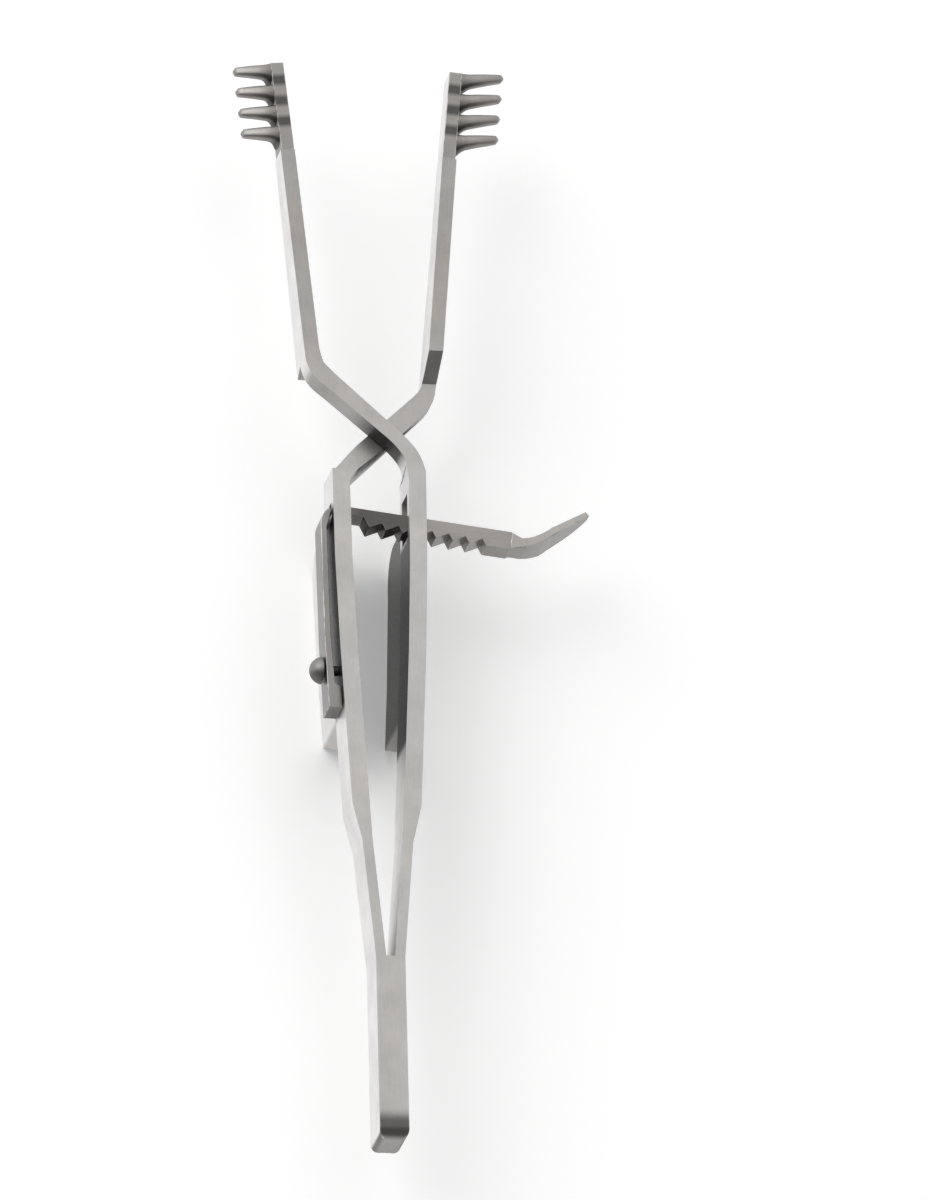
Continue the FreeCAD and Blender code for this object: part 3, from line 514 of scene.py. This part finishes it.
def from_node(name):
    """Open a copy of a solid's mesh with its loose triangles merged."""
    made = bmesh.new()
    made.from_mesh(frame["nodes"][name].data)
    bmesh.ops.remove_doubles(made, verts=made.verts, dist=MERGE_DISTANCE)
    return made


def flatten(made):
    """Merge the triangles of each flat face."""
    bmesh.ops.dissolve_limit(
        made, angle_limit=FLAT_ANGLE, use_dissolve_boundaries=False, verts=made.verts, edges=made.edges,
    )


def round_edges(made, width, keep=None):
    """Round the sharp edges, apart from those that keep picks out, and mark the new faces as worn."""
    worn = made.faces.layers.float.new(WEAR_LAYER)
    edges = [
        e for e in made.edges
        if e.is_manifold and e.calc_face_angle() > EDGE_ANGLE and not (keep and keep(e))
    ]
    result = bmesh.ops.bevel(
        made, geom=edges, offset=width * MM, offset_type="OFFSET", segments=2,
        profile=0.5, affect="EDGES", clamp_overlap=True,
    )
    for face in result["faces"]:
        face[worn] = 1.0


def finished(made, name, material):
    """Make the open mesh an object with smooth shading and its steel."""
    mesh = bpy.data.meshes.new(name)
    made.to_mesh(mesh)
    made.free()
    for polygon in mesh.polygons:
        polygon.use_smooth = True
    mesh.set_sharp_from_angle(angle=SHARP_ANGLE)
    thing = bpy.data.objects.new(name, mesh)
    bpy.context.collection.objects.link(thing)
    even = thing.modifiers.new("Even shading", "WEIGHTED_NORMAL")
    even.keep_sharp = True
    bpy.context.view_layer.update()
    plain = bpy.data.meshes.new_from_object(thing.evaluated_get(bpy.context.evaluated_depsgraph_get()))
    thing.modifiers.clear()
    thing.data = plain
    plain.name = name
    plain.materials.clear()
    plain.materials.append(material)
    return thing


def finish_node(name, body, width, material, keep=None):
    """Stand a finished copy in for one solid."""
    made = from_node(name)
    flatten(made)
    round_edges(made, width, keep)
    thing = finished(made, f"{name}_finished", material)
    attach(thing, body)
    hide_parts(name)


def joint_place(name):
    """Place of a joint's axis in the solids' frame."""
    return Vector(next(j for j in frame["joints"] if j["name"] == name)["pos_m"])


def cut(made, place, normal, **options):
    """Cut the mesh along a plane."""
    bmesh.ops.bisect_plane(
        made, geom=made.verts[:] + made.edges[:] + made.faces[:], dist=CUT_DISTANCE,
        plane_co=place, plane_no=normal, **options,
    )


def whole_strip(leg, arm, joint):
    """Join a heel leg and its arm into one springy strip, as the real one is."""
    place = joint_place(joint).y
    made = from_node(leg)
    made.from_mesh(frame["nodes"][arm].data)
    bmesh.ops.remove_doubles(made, verts=made.verts, dist=MERGE_DISTANCE)
    seam = [v for v in made.verts if abs(v.co.y - place) < SEAM_HALF]
    for vert in seam:
        vert.co.y = place
    inner = [f for f in made.faces if all(abs(v.co.y - place) < MERGE_DISTANCE for v in f.verts)]
    bmesh.ops.delete(made, geom=inner, context="FACES")
    bmesh.ops.remove_doubles(made, verts=made.verts, dist=MERGE_DISTANCE)
    flatten(made)
    return made


def soften_bends(made, low, high):
    """Round the upright corners where the strips bend between two stations, as bent steel does."""
    shortest = 0.2 * MM
    share = 0.46

    def upright(edge):
        """True for an upright bend between the two stations."""
        first, second = (v.co for v in edge.verts)
        return (
            edge.is_manifold and abs((second - first).normalized().z) > 0.95 and low < first.y < high
            and BEND_LEAST < abs(edge.calc_face_angle_signed()) < BEND_MOST
        )

    def level(edge):
        """True for an edge of a flat face that is long enough to round into."""
        first, second = (v.co for v in edge.verts)
        return abs(first.z - second.z) < MERGE_DISTANCE and edge.calc_length() > shortest

    def room(edge):
        """Widest rounding that the edges beside an upright one allow."""
        beside = [other for vert in edge.verts for other in vert.link_edges if level(other)]
        return min(min(other.calc_length() for other in beside) * share, BEND_REACH)

    corners = {}
    for edge in filter(upright, made.edges):
        point = edge.verts[0].co
        corners.setdefault((round(point.x, 5), round(point.y, 5)), []).append(room(edge))
    for (x, y), rooms in corners.items():
        chain = [
            e for e in filter(upright, made.edges)
            if all(abs(v.co.x - x) + abs(v.co.y - y) < TOUCHING for v in e.verts)
        ]
        bmesh.ops.bevel(
            made, geom=chain, offset=min(rooms), offset_type="OFFSET", segments=5, profile=0.5,
            affect="EDGES", clamp_overlap=True,
        )


def fork_station():
    """Y of the fork, where the legs leave the heel's spacer."""
    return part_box("heel_spacer")[1].y


def shoulder_station():
    """Y where the thin spring strip thickens to the handle."""
    return joint_place("left_arm_flex").y + SHOULDER_PAST_JOINT


def on_spacer(edge):
    """True for a leg's edge that lies on the heel's spacer, where the real heel has no groove."""
    low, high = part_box("heel_spacer")
    middle = (edge.verts[0].co + edge.verts[1].co) / 2
    beside = min(abs(middle.x - low.x), abs(middle.x - high.x)) < TOUCHING
    return beside and middle.y < high.y + 0.01 * MM


def round_pin(edge):
    """True for the rim of the pin's hole, because the pin is ground flush with the strip."""
    low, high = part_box("ratchet_pivot_pin")
    middle = (low + high) / 2
    radius = (high.x - low.x) / 2
    return all(math.hypot(v.co.x - middle.x, v.co.y - middle.y) < radius * 1.3 for v in edge.verts)


def crossing_place():
    """Middle of the painted shade at the crossing, just under the strips' top faces."""
    bar_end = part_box("ratchet_bar")[1].y
    comb_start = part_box("right_comb")[0].y
    middle = (joint_place("left_arm_flex").x + joint_place("right_arm_flex").x) / 2
    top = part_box("heel_spacer")[1].z
    return middle + 2.0 * MM, bar_end + (comb_start - bar_end) * 0.19, top - 1.5 * MM


class RETRACTOR_OT_strips(Operator):
    """Join each heel leg and arm into one springy strip with softly rounded edges"""

    bl_idname = "retractor.strips"
    bl_label = "Springy strips"

    def execute(self, context):
        """Build the two strips."""
        look, edges, _, _ = settings()
        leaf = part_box("leaf_spring")
        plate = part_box("right_finger_plate")
        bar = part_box("ratchet_bar")
        # Y ranges in which the left-facing sides take painted shade: behind the leaf spring, and between the
        # finger plates up to the bar.
        shaded = {"left": (leaf[0].y, leaf[1].y), "right": (plate[0].y - 0.9 * MM, bar[0].y + 0.6 * MM)}
        crossing = (leaf[1].y + 2.0 * MM, leaf[1].y + 18.0 * MM)
        start, end = fork_station(), shoulder_station()
        for side, (low, high) in shaded.items():
            # Painted shade on faces that look to the heel and round the crossing, and on the left sides
            # inside the ranges; painted bright reflection on the other left sides.
            satin = steel(
                f"{side.title()}_Strip_Satin", look.handle_colour, look.blade_colour, look.satin_roughness,
                heel_stain=0.92, stain_middle=crossing_place(), far_stain=0.12,
                heel_end=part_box("heel_spacer")[0].y, left_amount=0.95, left_colour=look.painted_shade_colour,
                left_colour_beyond=look.painted_bright_side_colour, low_end=low, high_end=high,
                right_stain=0.8 if side == "left" else 0.0,
            )
            joint = f"{side}_arm_flex"
            made = whole_strip(f"{side}_heel_leg", f"{side}_arm", joint)
            for i in range(1, STRIP_CUTS + 1):
                cut(made, (0.0, start + (end - start) * i / STRIP_CUTS, 0.0), HEEL_TO_COMBS)
            soften_bends(made, *crossing)
            round_edges(made, edges.strip_edge, lambda edge: on_spacer(edge) or round_pin(edge))
            strip = finished(made, f"{side}_strip", satin)
            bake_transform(strip)
            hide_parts(f"{side}_heel_leg", f"{side}_arm")
        return {"FINISHED"}


def whole_heel(end):
    """Spacer and both legs joined up to the fork, as the brazed heel looks, a hair proud of the solids."""
    low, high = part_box("heel_spacer")
    made = from_node("heel_spacer")
    for leg in ("left_heel_leg", "right_heel_leg"):
        made.from_mesh(frame["nodes"][leg].data)
    cut(made, (0.0, end, 0.0), HEEL_TO_COMBS, clear_outer=True)
    bmesh.ops.remove_doubles(made, verts=made.verts, dist=MERGE_DISTANCE)
    inside = [
        f for f in made.faces
        if any(all(abs(v.co.x - plane) < 2 * MERGE_DISTANCE for v in f.verts) for plane in (low.x, high.x))
    ]
    bmesh.ops.delete(made, geom=inside, context="FACES")
    across = [f for f in made.faces if all(abs(v.co.y - end) < 2 * MERGE_DISTANCE for v in f.verts)]
    bmesh.ops.delete(made, geom=across, context="FACES")
    bmesh.ops.remove_doubles(made, verts=made.verts, dist=2 * MERGE_DISTANCE)
    bmesh.ops.holes_fill(made, edges=[e for e in made.edges if e.is_boundary], sides=0)
    bmesh.ops.recalc_face_normals(made, faces=made.faces)
    flatten(made)
    made.normal_update()
    for vert, push in [(v, v.normal.copy()) for v in made.verts]:
        vert.co += push * HEEL_PROUD
    return made


class RETRACTOR_OT_heel(Operator):
    """Finish the heel as one block in which the two strips and their spacer are joined"""

    bl_idname = "retractor.heel"
    bl_label = "Heel block"

    def execute(self, context):
        """Build the block."""
        look, edges, _, _ = settings()
        low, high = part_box("heel_spacer")
        # Painted shade on faces that look to the heel and a painted dark band across the heel's rounded top;
        # every left side takes the painted bright reflection.
        satin = steel(
            "Heel_Satin", look.handle_colour, None, look.satin_roughness, heel_stain=0.92, far_stain=0.12,
            heel_end=low.y, left_amount=0.95, left_colour_beyond=look.painted_bright_side_colour, low_end=EVERYWHERE,
        )
        made = whole_heel(high.y)
        round_edges(made, edges.strip_edge, lambda edge: all(v.co.y > high.y - TOUCHING for v in edge.verts))
        block = finished(made, "heel_block", satin)
        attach(block, "heel")
        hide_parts("heel_spacer")
        return {"FINISHED"}


class RETRACTOR_OT_plates(Operator):
    """Finish the two finger plates with fine lengthwise brushing"""

    bl_idname = "retractor.plates"
    bl_label = "Finger plates"

    def execute(self, context):
        """Build the plates."""
        look, edges, _, _ = settings()
        verts = frame["nodes"]["left_finger_plate"].data.vertices
        corner = min(v.co.y for v in verts if v.co.z < MERGE_DISTANCE)
        # Above the lowest corner, the left plate's outer face takes the painted bright reflection and the
        # right plate's inner face takes painted shade; faces that look to the heel, and the left plate's
        # faces that look right, also take painted shade.
        for side, face in (("left", look.painted_bright_side_colour), ("right", look.painted_shade_colour)):
            brushed = steel(
                f"{side.title()}_Plate_Brushed_Painted_Light", look.plate_colour, None, look.satin_roughness - 0.04,
                across=6000.0, along=120.0, heel_stain=0.8, far_stain=1.0, left_amount=0.9,
                left_colour=face, left_colour_beyond=look.plate_colour, low_end=corner, high_end=EVERYWHERE,
                right_stain=0.9 if side == "left" else 0.0,
            )
            finish_node(f"{side}_finger_plate", f"{side}_arm", edges.plate_edge, brushed)
        return {"FINISHED"}


def ring(middle, wide, deep, points=20, fullness=3.2):
    """Corners of a rounded rectangle round a point, in the plane across a prong."""
    corners = []
    for i in range(points):
        angle = 2 * math.pi * i / points
        c, s = math.cos(angle), math.sin(angle)
        y = math.copysign(abs(c) ** (2 / fullness), c) * wide / 2
        z = math.copysign(abs(s) ** (2 / fullness), s) * deep / 2
        corners.append(Vector((middle.x, middle.y + y, middle.z + z)))
    return corners


def tusk(side, reach, root_depth, lift, sag, combs):
    """Mesh of one prong at the origin: a tusk that flares at its root, thins and curves to a blunt tip.

    lift is how far its tip rises along the blade, and sag how much of its flare lies to the heel.
    """
    flare_end = 0.24
    shade_end = 0.55
    tip_start = 0.9
    made = bmesh.new()
    shade = made.verts.layers.float.new(ROOT_SHADE_LAYER)
    rings = []
    for i in range(PRONG_STEPS + 1):
        along = (reach + PRONG_SUNK) * i / PRONG_STEPS - PRONG_SUNK
        u = max(along, 0.0) / reach
        flare = max(1.0 - u / flare_end, 0.0) ** 2
        top = -combs.drop * u ** 1.5
        deep = combs.tip_depth + (combs.middle_depth - combs.tip_depth) * (1.0 - u) ** 0.8
        deep += (root_depth - combs.middle_depth) * flare
        wide = combs.root_width + (combs.tip_width - combs.root_width) * u + combs.root_flare * flare
        rounded = max(u - tip_start, 0.0) / (1.0 - tip_start)
        closing = math.sqrt(max(1.0 - rounded ** 2, 0.0)) * 0.8 + 0.2
        sink = sag * (combs.root_flare * flare / 3 + (1.0 - u) * 0.12)
        middle = Vector((side * along, lift * u - sink, top - deep / 2)) * MM
        corners = ring(middle, wide * closing * MM, deep * closing * MM)
        rings.append([made.verts.new(c) for c in corners])
        # Painted shade near the root, stronger on the prong's half towards the heel.
        for vert in rings[-1]:
            below = (middle.y - vert.co.y) / (wide * MM) + 0.5
            vert[shade] = max(1.0 - u / shade_end, 0.0) * (0.3 + 0.7 * below)
    for first, second in zip(rings, rings[1:]):
        for k in range(len(first)):
            following = (k + 1) % len(first)
            made.faces.new((first[k], first[following], second[following], second[k]))
    made.faces.new(rings[0])
    made.faces.new(rings[-1])
    bmesh.ops.recalc_face_normals(made, faces=made.faces)
    mesh = bpy.data.meshes.new("prong")
    made.to_mesh(mesh)
    made.free()
    return mesh


def prong_row_tree():
    """Geometry node tree that sets copies of one prong in a row along the blade."""
    made = bpy.data.node_groups.get("ProngRow")
    if made:
        return made
    made, entry, leave = new_group(
        "ProngRow", "GeometryNodeTree",
        [
            ("Geometry", GEOMETRY), ("Prongs", "NodeSocketInt", 4), ("First place", VECTOR),
            ("Step", VECTOR), ("Steel", "NodeSocketMaterial"),
        ],
        [("Geometry", GEOMETRY)],
    )
    line = node(made, "GeometryNodeMeshLine", {
        "Count": entry["Prongs"], "Start Location": entry["First place"], "Offset": entry["Step"],
    }, mode="OFFSET")
    copies = node(made, "GeometryNodeInstanceOnPoints", {
        "Points": line.outputs[0], "Instance": entry["Geometry"],
    })
    real = node(made, "GeometryNodeRealizeInstances", {0: copies.outputs[0]})
    coat = node(made, "GeometryNodeSetMaterial", {"Geometry": real.outputs[0], "Material": entry["Steel"]})
    join(made, (coat.outputs[0], leave[0]))
    return made


def prong_row(prong, first, step, combs, satin):
    """Plain mesh of a comb's prongs, set in a row by the geometry node tree."""
    single = bpy.data.objects.new("prong", prong)
    bpy.context.collection.objects.link(single)
    tree = prong_row_tree()
    row = single.modifiers.new("Prong row", "NODES")
    row.node_group = tree
    wanted = {"Prongs": combs.prongs, "First place": first, "Step": step, "Steel": satin}
    for item in tree.interface.items_tree:
        if item.in_out == "INPUT" and item.name in wanted:
            row[item.identifier] = wanted[item.name]
    bpy.context.view_layer.update()
    plain = bpy.data.meshes.new_from_object(single.evaluated_get(bpy.context.evaluated_depsgraph_get()))
    bpy.data.objects.remove(single)
    return plain


def shade_gaps(made, shade, first, step, prongs):
    """Paint shade on the spine where the gaps between the prongs run out on it."""
    plain_shade = 0.35
    dark_half = 0.5 * MM
    flat = Vector((step.x, step.y, 0.0))
    pitch = flat.length
    along = flat.normalized()
    for gap in range(prongs - 1):
        for offset in (-0.75, -0.3, 0.3, 0.75):
            cut(made, first + flat * (gap + 0.5) + along * offset * MM, along)
    for vert in made.verts:
        station = (vert.co - first).dot(along) / pitch - 0.5
        away = abs(station - round(station)) * pitch
        dark = away < dark_half and -0.5 < station < prongs - 1.5
        vert[shade] = 1.0 if dark else plain_shade


class RETRACTOR_OT_combs(Operator):
    """Build each comb: a spine beside the blade and a row of tusk-like prongs"""

    bl_idname = "retractor.combs"
    bl_label = "Pronged combs"

    def execute(self, context):
        """Build the two combs."""
        look, edges, combs, _ = settings()
        # Painted shade near the prongs' roots and where the gaps run out on the spine, from the layer; the
        # right comb's left sides also take the painted bright reflection.
        plain = {"wear": 0.35, "heel_layer": ROOT_SHADE_LAYER, "far_stain": 1.0}
        left_satin = steel("Comb_Satin", look.blade_colour, None, look.satin_roughness, **plain)
        right_satin = steel(
            "Comb_Satin_Painted_Bright_Side", look.blade_colour, None, look.satin_roughness, left_amount=0.9,
            left_colour_beyond=look.painted_bright_side_colour, low_end=EVERYWHERE, **plain,
        )
        for name, side, body, satin, extra, lift, sag in (
            ("left_comb", -1, "right_arm", left_satin, 0.0, 0.2, 0.2),
            ("right_comb", 1, "left_arm", right_satin, combs.right_reach, combs.right_lift, 0.0),
        ):
            low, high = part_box(name)
            inner_low, inner_high = comb_inner_edge(name, side)
            along = (inner_high - inner_low).normalized()
            across = Vector((side * abs(along.y), -side * along.x, 0.0))
            spine = combs.spine * MM
            root_depth = (high.z - low.z) / MM
            reach = (abs(high.x - low.x) - abs(inner_high.x - inner_low.x)) / MM - combs.spine
            made = bmesh.new()
            shade = made.verts.layers.float.new(ROOT_SHADE_LAYER)
            corners = [inner_low, inner_low + across * spine, inner_high + across * spine, inner_high]
            below = [made.verts.new((c.x, c.y, low.z)) for c in corners]
            above = [made.verts.new((c.x, c.y, high.z)) for c in corners]
            made.faces.new(below)
            made.faces.new(above)
            for k in range(4):
                following = (k + 1) % 4
                made.faces.new((below[k], below[following], above[following], above[k]))
            bmesh.ops.recalc_face_normals(made, faces=made.faces)
            round_edges(made, edges.strip_edge)
            step = along * combs.pitch * MM
            last = inner_high + across * spine - along * combs.root_width / 2 * MM
            first = last - step * (combs.prongs - 1)
            first.z = high.z
            shade_gaps(made, shade, first, step, combs.prongs)
            prong = tusk(side, reach + extra, root_depth, lift, sag, combs)
            made.from_mesh(prong_row(prong, first, step, combs, satin))
            comb = finished(made, f"{name}_finished", satin)
            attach(comb, body)
            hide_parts(name)
        return {"FINISHED"}


def comb_inner_edge(name, side):
    """Lower and upper end of the comb's edge against its blade."""
    verts = [v.co.copy() for v in frame["nodes"][name].data.vertices]
    lowest = min(verts, key=lambda v: v.y + side * v.x * 0.5)
    topmost = max(verts, key=lambda v: v.y - side * v.x * 0.5)
    return lowest, topmost


class RETRACTOR_OT_ratchet_bar(Operator):
    """Finish the toothed ratchet bar"""

    bl_idname = "retractor.ratchet_bar"
    bl_label = "Ratchet bar"

    def execute(self, context):
        """Build the bar."""
        look, edges, _, _ = settings()
        low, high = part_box("ratchet_bar")
        # Painted shade on faces that look to the heel and up, full round a point near the bar's low end and
        # weaker beyond it.
        polished = steel(
            "Bar_Polished", look.bar_colour, None, look.satin_roughness - 0.1, across=700.0, along=7000.0,
            wear=0.5, heel_stain=0.95, front_stain=0.8, far_stain=0.3,
            stain_middle=(low.x + 4.5 * MM, (low.y + high.y) / 2, high.z),
        )
        finish_node(
            "ratchet_bar", "ratchet_bar", edges.bar_edge, polished,
            lambda edge: all(v.co.x > high.x - TOUCHING for v in edge.verts),
        )
        return {"FINISHED"}


class RETRACTOR_OT_thumb_lever(Operator):
    """Finish the bent thumb lever"""

    bl_idname = "retractor.thumb_lever"
    bl_label = "Thumb lever"

    def execute(self, context):
        """Build the lever."""
        look, edges, _, _ = settings()
        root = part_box("thumb_lever")[0].x
        # Light painted shade on faces that look to the heel.
        polished = steel(
            "Lever_Polished", look.bar_colour, None, look.satin_roughness - 0.08, wear=0.8, heel_stain=0.3,
            far_stain=1.0,
        )
        finish_node(
            "thumb_lever", "ratchet_bar", edges.lever_edge, polished,
            lambda edge: all(v.co.x < root + TOUCHING for v in edge.verts),
        )
        return {"FINISHED"}


class RETRACTOR_OT_leaf_spring(Operator):
    """Finish the bowed leaf spring"""

    bl_idname = "retractor.leaf_spring"
    bl_label = "Leaf spring"

    def execute(self, context):
        """Build the spring."""
        look, edges, _, _ = settings()
        # Painted shade on faces that look to the heel.
        rolled = steel(
            "Spring_Rolled", look.spring_colour, None, look.satin_roughness - 0.08, across=7000.0,
            along=200.0, heel_stain=0.6, far_stain=1.0,
        )
        finish_node("leaf_spring", "leaf_spring", edges.spring_edge, rolled)
        return {"FINISHED"}


class RETRACTOR_OT_fasteners(Operator):
    """Finish the spring screw and the ratchet's pivot pin"""

    bl_idname = "retractor.fasteners"
    bl_label = "Screw and pin"

    def execute(self, context):
        """Build the fasteners."""
        look, edges, _, _ = settings()
        # Painted shade on the screw's faces that look to the heel.
        dark = steel(
            "Screw_Polished", look.screw_colour, None, look.satin_roughness + 0.08, heel_stain=0.5,
            far_stain=1.0, wear=0.3,
        )
        flush = steel("Pin_Satin", look.handle_colour, None, look.satin_roughness)
        finish_node("spring_screw", "left_arm", edges.spring_edge, dark)
        finish_node("ratchet_pivot_pin", "left_arm", edges.bar_edge, flush, lambda edge: True)
        return {"FINISHED"}


def soft_lamp(name, place, target, width, power):
    """Square area lamp that looks at a point."""
    data = bpy.data.lights.new(name, "AREA")
    data.size = width
    data.energy = power
    lamp = bpy.data.objects.new(name, data)
    lamp.location = place
    lamp.rotation_mode = "QUATERNION"
    lamp.rotation_quaternion = (target - Vector(place)).to_track_quat("-Z", "Y")
    bpy.context.collection.objects.link(lamp)


def even_sky(strength):
    """Pale sky, a little darker towards the heel."""
    world = bpy.data.worlds.new("Studio")
    bpy.context.scene.world = world
    world.use_nodes = True
    tree = world.node_tree
    tree.nodes.clear()
    place = node(tree, "ShaderNodeTexCoord").outputs["Generated"]
    station = node(tree, "ShaderNodeSeparateXYZ", {0: place}).outputs["Y"]
    fade = ranged(tree, station, -0.7, 0.5, 0.35, 1.15)
    light = node(tree, "ShaderNodeBackground", {"Color": fade, "Strength": strength})
    node(tree, "ShaderNodeOutputWorld", {"Surface": light.outputs[0]})


def pale_floor(colour, glow):
    """Large plain floor that the finger plates lie on."""
    mesh = bpy.data.meshes.new("floor")
    corners = [(x * FLOOR_HALF, y * FLOOR_HALF, 0) for x, y in ((-1, -1), (1, -1), (1, 1), (-1, 1))]
    mesh.from_pydata(corners, [], [(0, 1, 2, 3)])
    floor = bpy.data.objects.new("floor", mesh)
    bpy.context.collection.objects.link(floor)
    paint = bpy.data.materials.new("Floor_Pale")
    paint.use_nodes = True
    tree = paint.node_tree
    shader = tree.nodes["Principled BSDF"]
    shader.inputs["Base Color"].default_value = (*colour, 1.0)
    shader.inputs["Roughness"].default_value = 0.9
    shader.inputs["Specular IOR Level"].default_value = 0.1
    shader.inputs["Emission Color"].default_value = (1.0, 1.0, 1.0, 1.0)
    rays = node(tree, "ShaderNodeLightPath").outputs
    seen = maths(tree, "MAXIMUM", rays["Is Camera Ray"], rays["Is Glossy Ray"])
    seen = maths(tree, "MAXIMUM", seen, rays["Is Transmission Ray"])
    join(tree, (maths(tree, "MULTIPLY", seen, glow), shader.inputs["Emission Strength"]))
    mesh.materials.append(paint)


class RETRACTOR_OT_studio(Operator):
    """Set the pale floor, the soft lamps and the camera"""

    bl_idname = "retractor.studio"
    bl_label = "Studio"

    def execute(self, context):
        """Build the stage."""
        studio = settings()[3]
        pale_floor(studio.floor_colour, studio.floor_glow)
        even_sky(studio.sky_strength)
        middle = Vector((0.0, 0.0, 0.01))
        soft_lamp("key", (-0.75, 0.45, 0.75), middle, LAMP_WIDTH, studio.key_power)
        soft_lamp("fill", (0.35, 0.6, 0.9), middle, LAMP_WIDTH, studio.fill_power)

        back = Vector((
            math.sin(studio.azimuth) * math.cos(studio.elevation),
            -math.cos(studio.azimuth) * math.cos(studio.elevation),
            math.sin(studio.elevation),
        ))
        up = (Vector((0.0, 1.0, 0.0)) - back * back.y).normalized()
        right = up.cross(back)
        turn = Matrix.Rotation(studio.roll, 3, back)
        right, up = turn @ right, turn @ up
        data = bpy.data.cameras.new("camera")
        data.sensor_width = SENSOR_MM
        data.lens = studio.pixels_per_mm * SENSOR_MM * (studio.distance / MM) / PHOTO_HEIGHT_PX
        data.clip_start, data.clip_end = 0.01, 20.0
        camera = bpy.data.objects.new("camera", data)
        aim = middle + right * studio.aim_right * MM + up * studio.aim_up * MM
        camera.matrix_world = Matrix.Translation(aim + back * studio.distance) @ Matrix(
            (right, up, back)
        ).transposed().to_4x4()
        bpy.context.collection.objects.link(camera)
        context.scene.camera = camera
        context.scene.view_settings.view_transform = "Standard"
        return {"FINISHED"}


class RETRACTOR_PT_panel(Panel):
    """Lists the steps that build the finished retractor"""

    bl_idname = "RETRACTOR_PT_panel"
    bl_label = "Retractor"
    bl_space_type = "VIEW_3D"
    bl_region_type = "UI"
    bl_category = "Retractor"

    def draw(self, context):
        """Show a button for each step."""
        for step in STEPS:
            self.layout.operator(step.bl_idname)


STEPS = (
    RETRACTOR_OT_strips,
    RETRACTOR_OT_heel,
    RETRACTOR_OT_plates,
    RETRACTOR_OT_combs,
    RETRACTOR_OT_ratchet_bar,
    RETRACTOR_OT_thumb_lever,
    RETRACTOR_OT_leaf_spring,
    RETRACTOR_OT_fasteners,
    RETRACTOR_OT_studio,
)
GROUPS = {
    "retractor_steel": RetractorSteel,
    "retractor_edges": RetractorEdges,
    "retractor_combs": RetractorCombs,
    "retractor_studio": RetractorStudio,
}


def register():
    """Register the groups, the steps and the panel."""
    for name, group in GROUPS.items():
        bpy.utils.register_class(group)
        setattr(bpy.types.Scene, name, PointerProperty(type=group))
    for kind in (*STEPS, RETRACTOR_PT_panel):
        bpy.utils.register_class(kind)


def unregister():
    """Take the panel, the steps and the groups away again."""
    for kind in (RETRACTOR_PT_panel, *reversed(STEPS)):
        bpy.utils.unregister_class(kind)
    for name, group in reversed(GROUPS.items()):
        delattr(bpy.types.Scene, name)
        bpy.utils.unregister_class(group)


def main():
    """Build every piece in order."""
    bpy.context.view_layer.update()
    register()
    for step in STEPS:
        family, operation = step.bl_idname.split(".")
        getattr(getattr(bpy.ops, family), operation)()


if __name__ == "__main__":
    main()
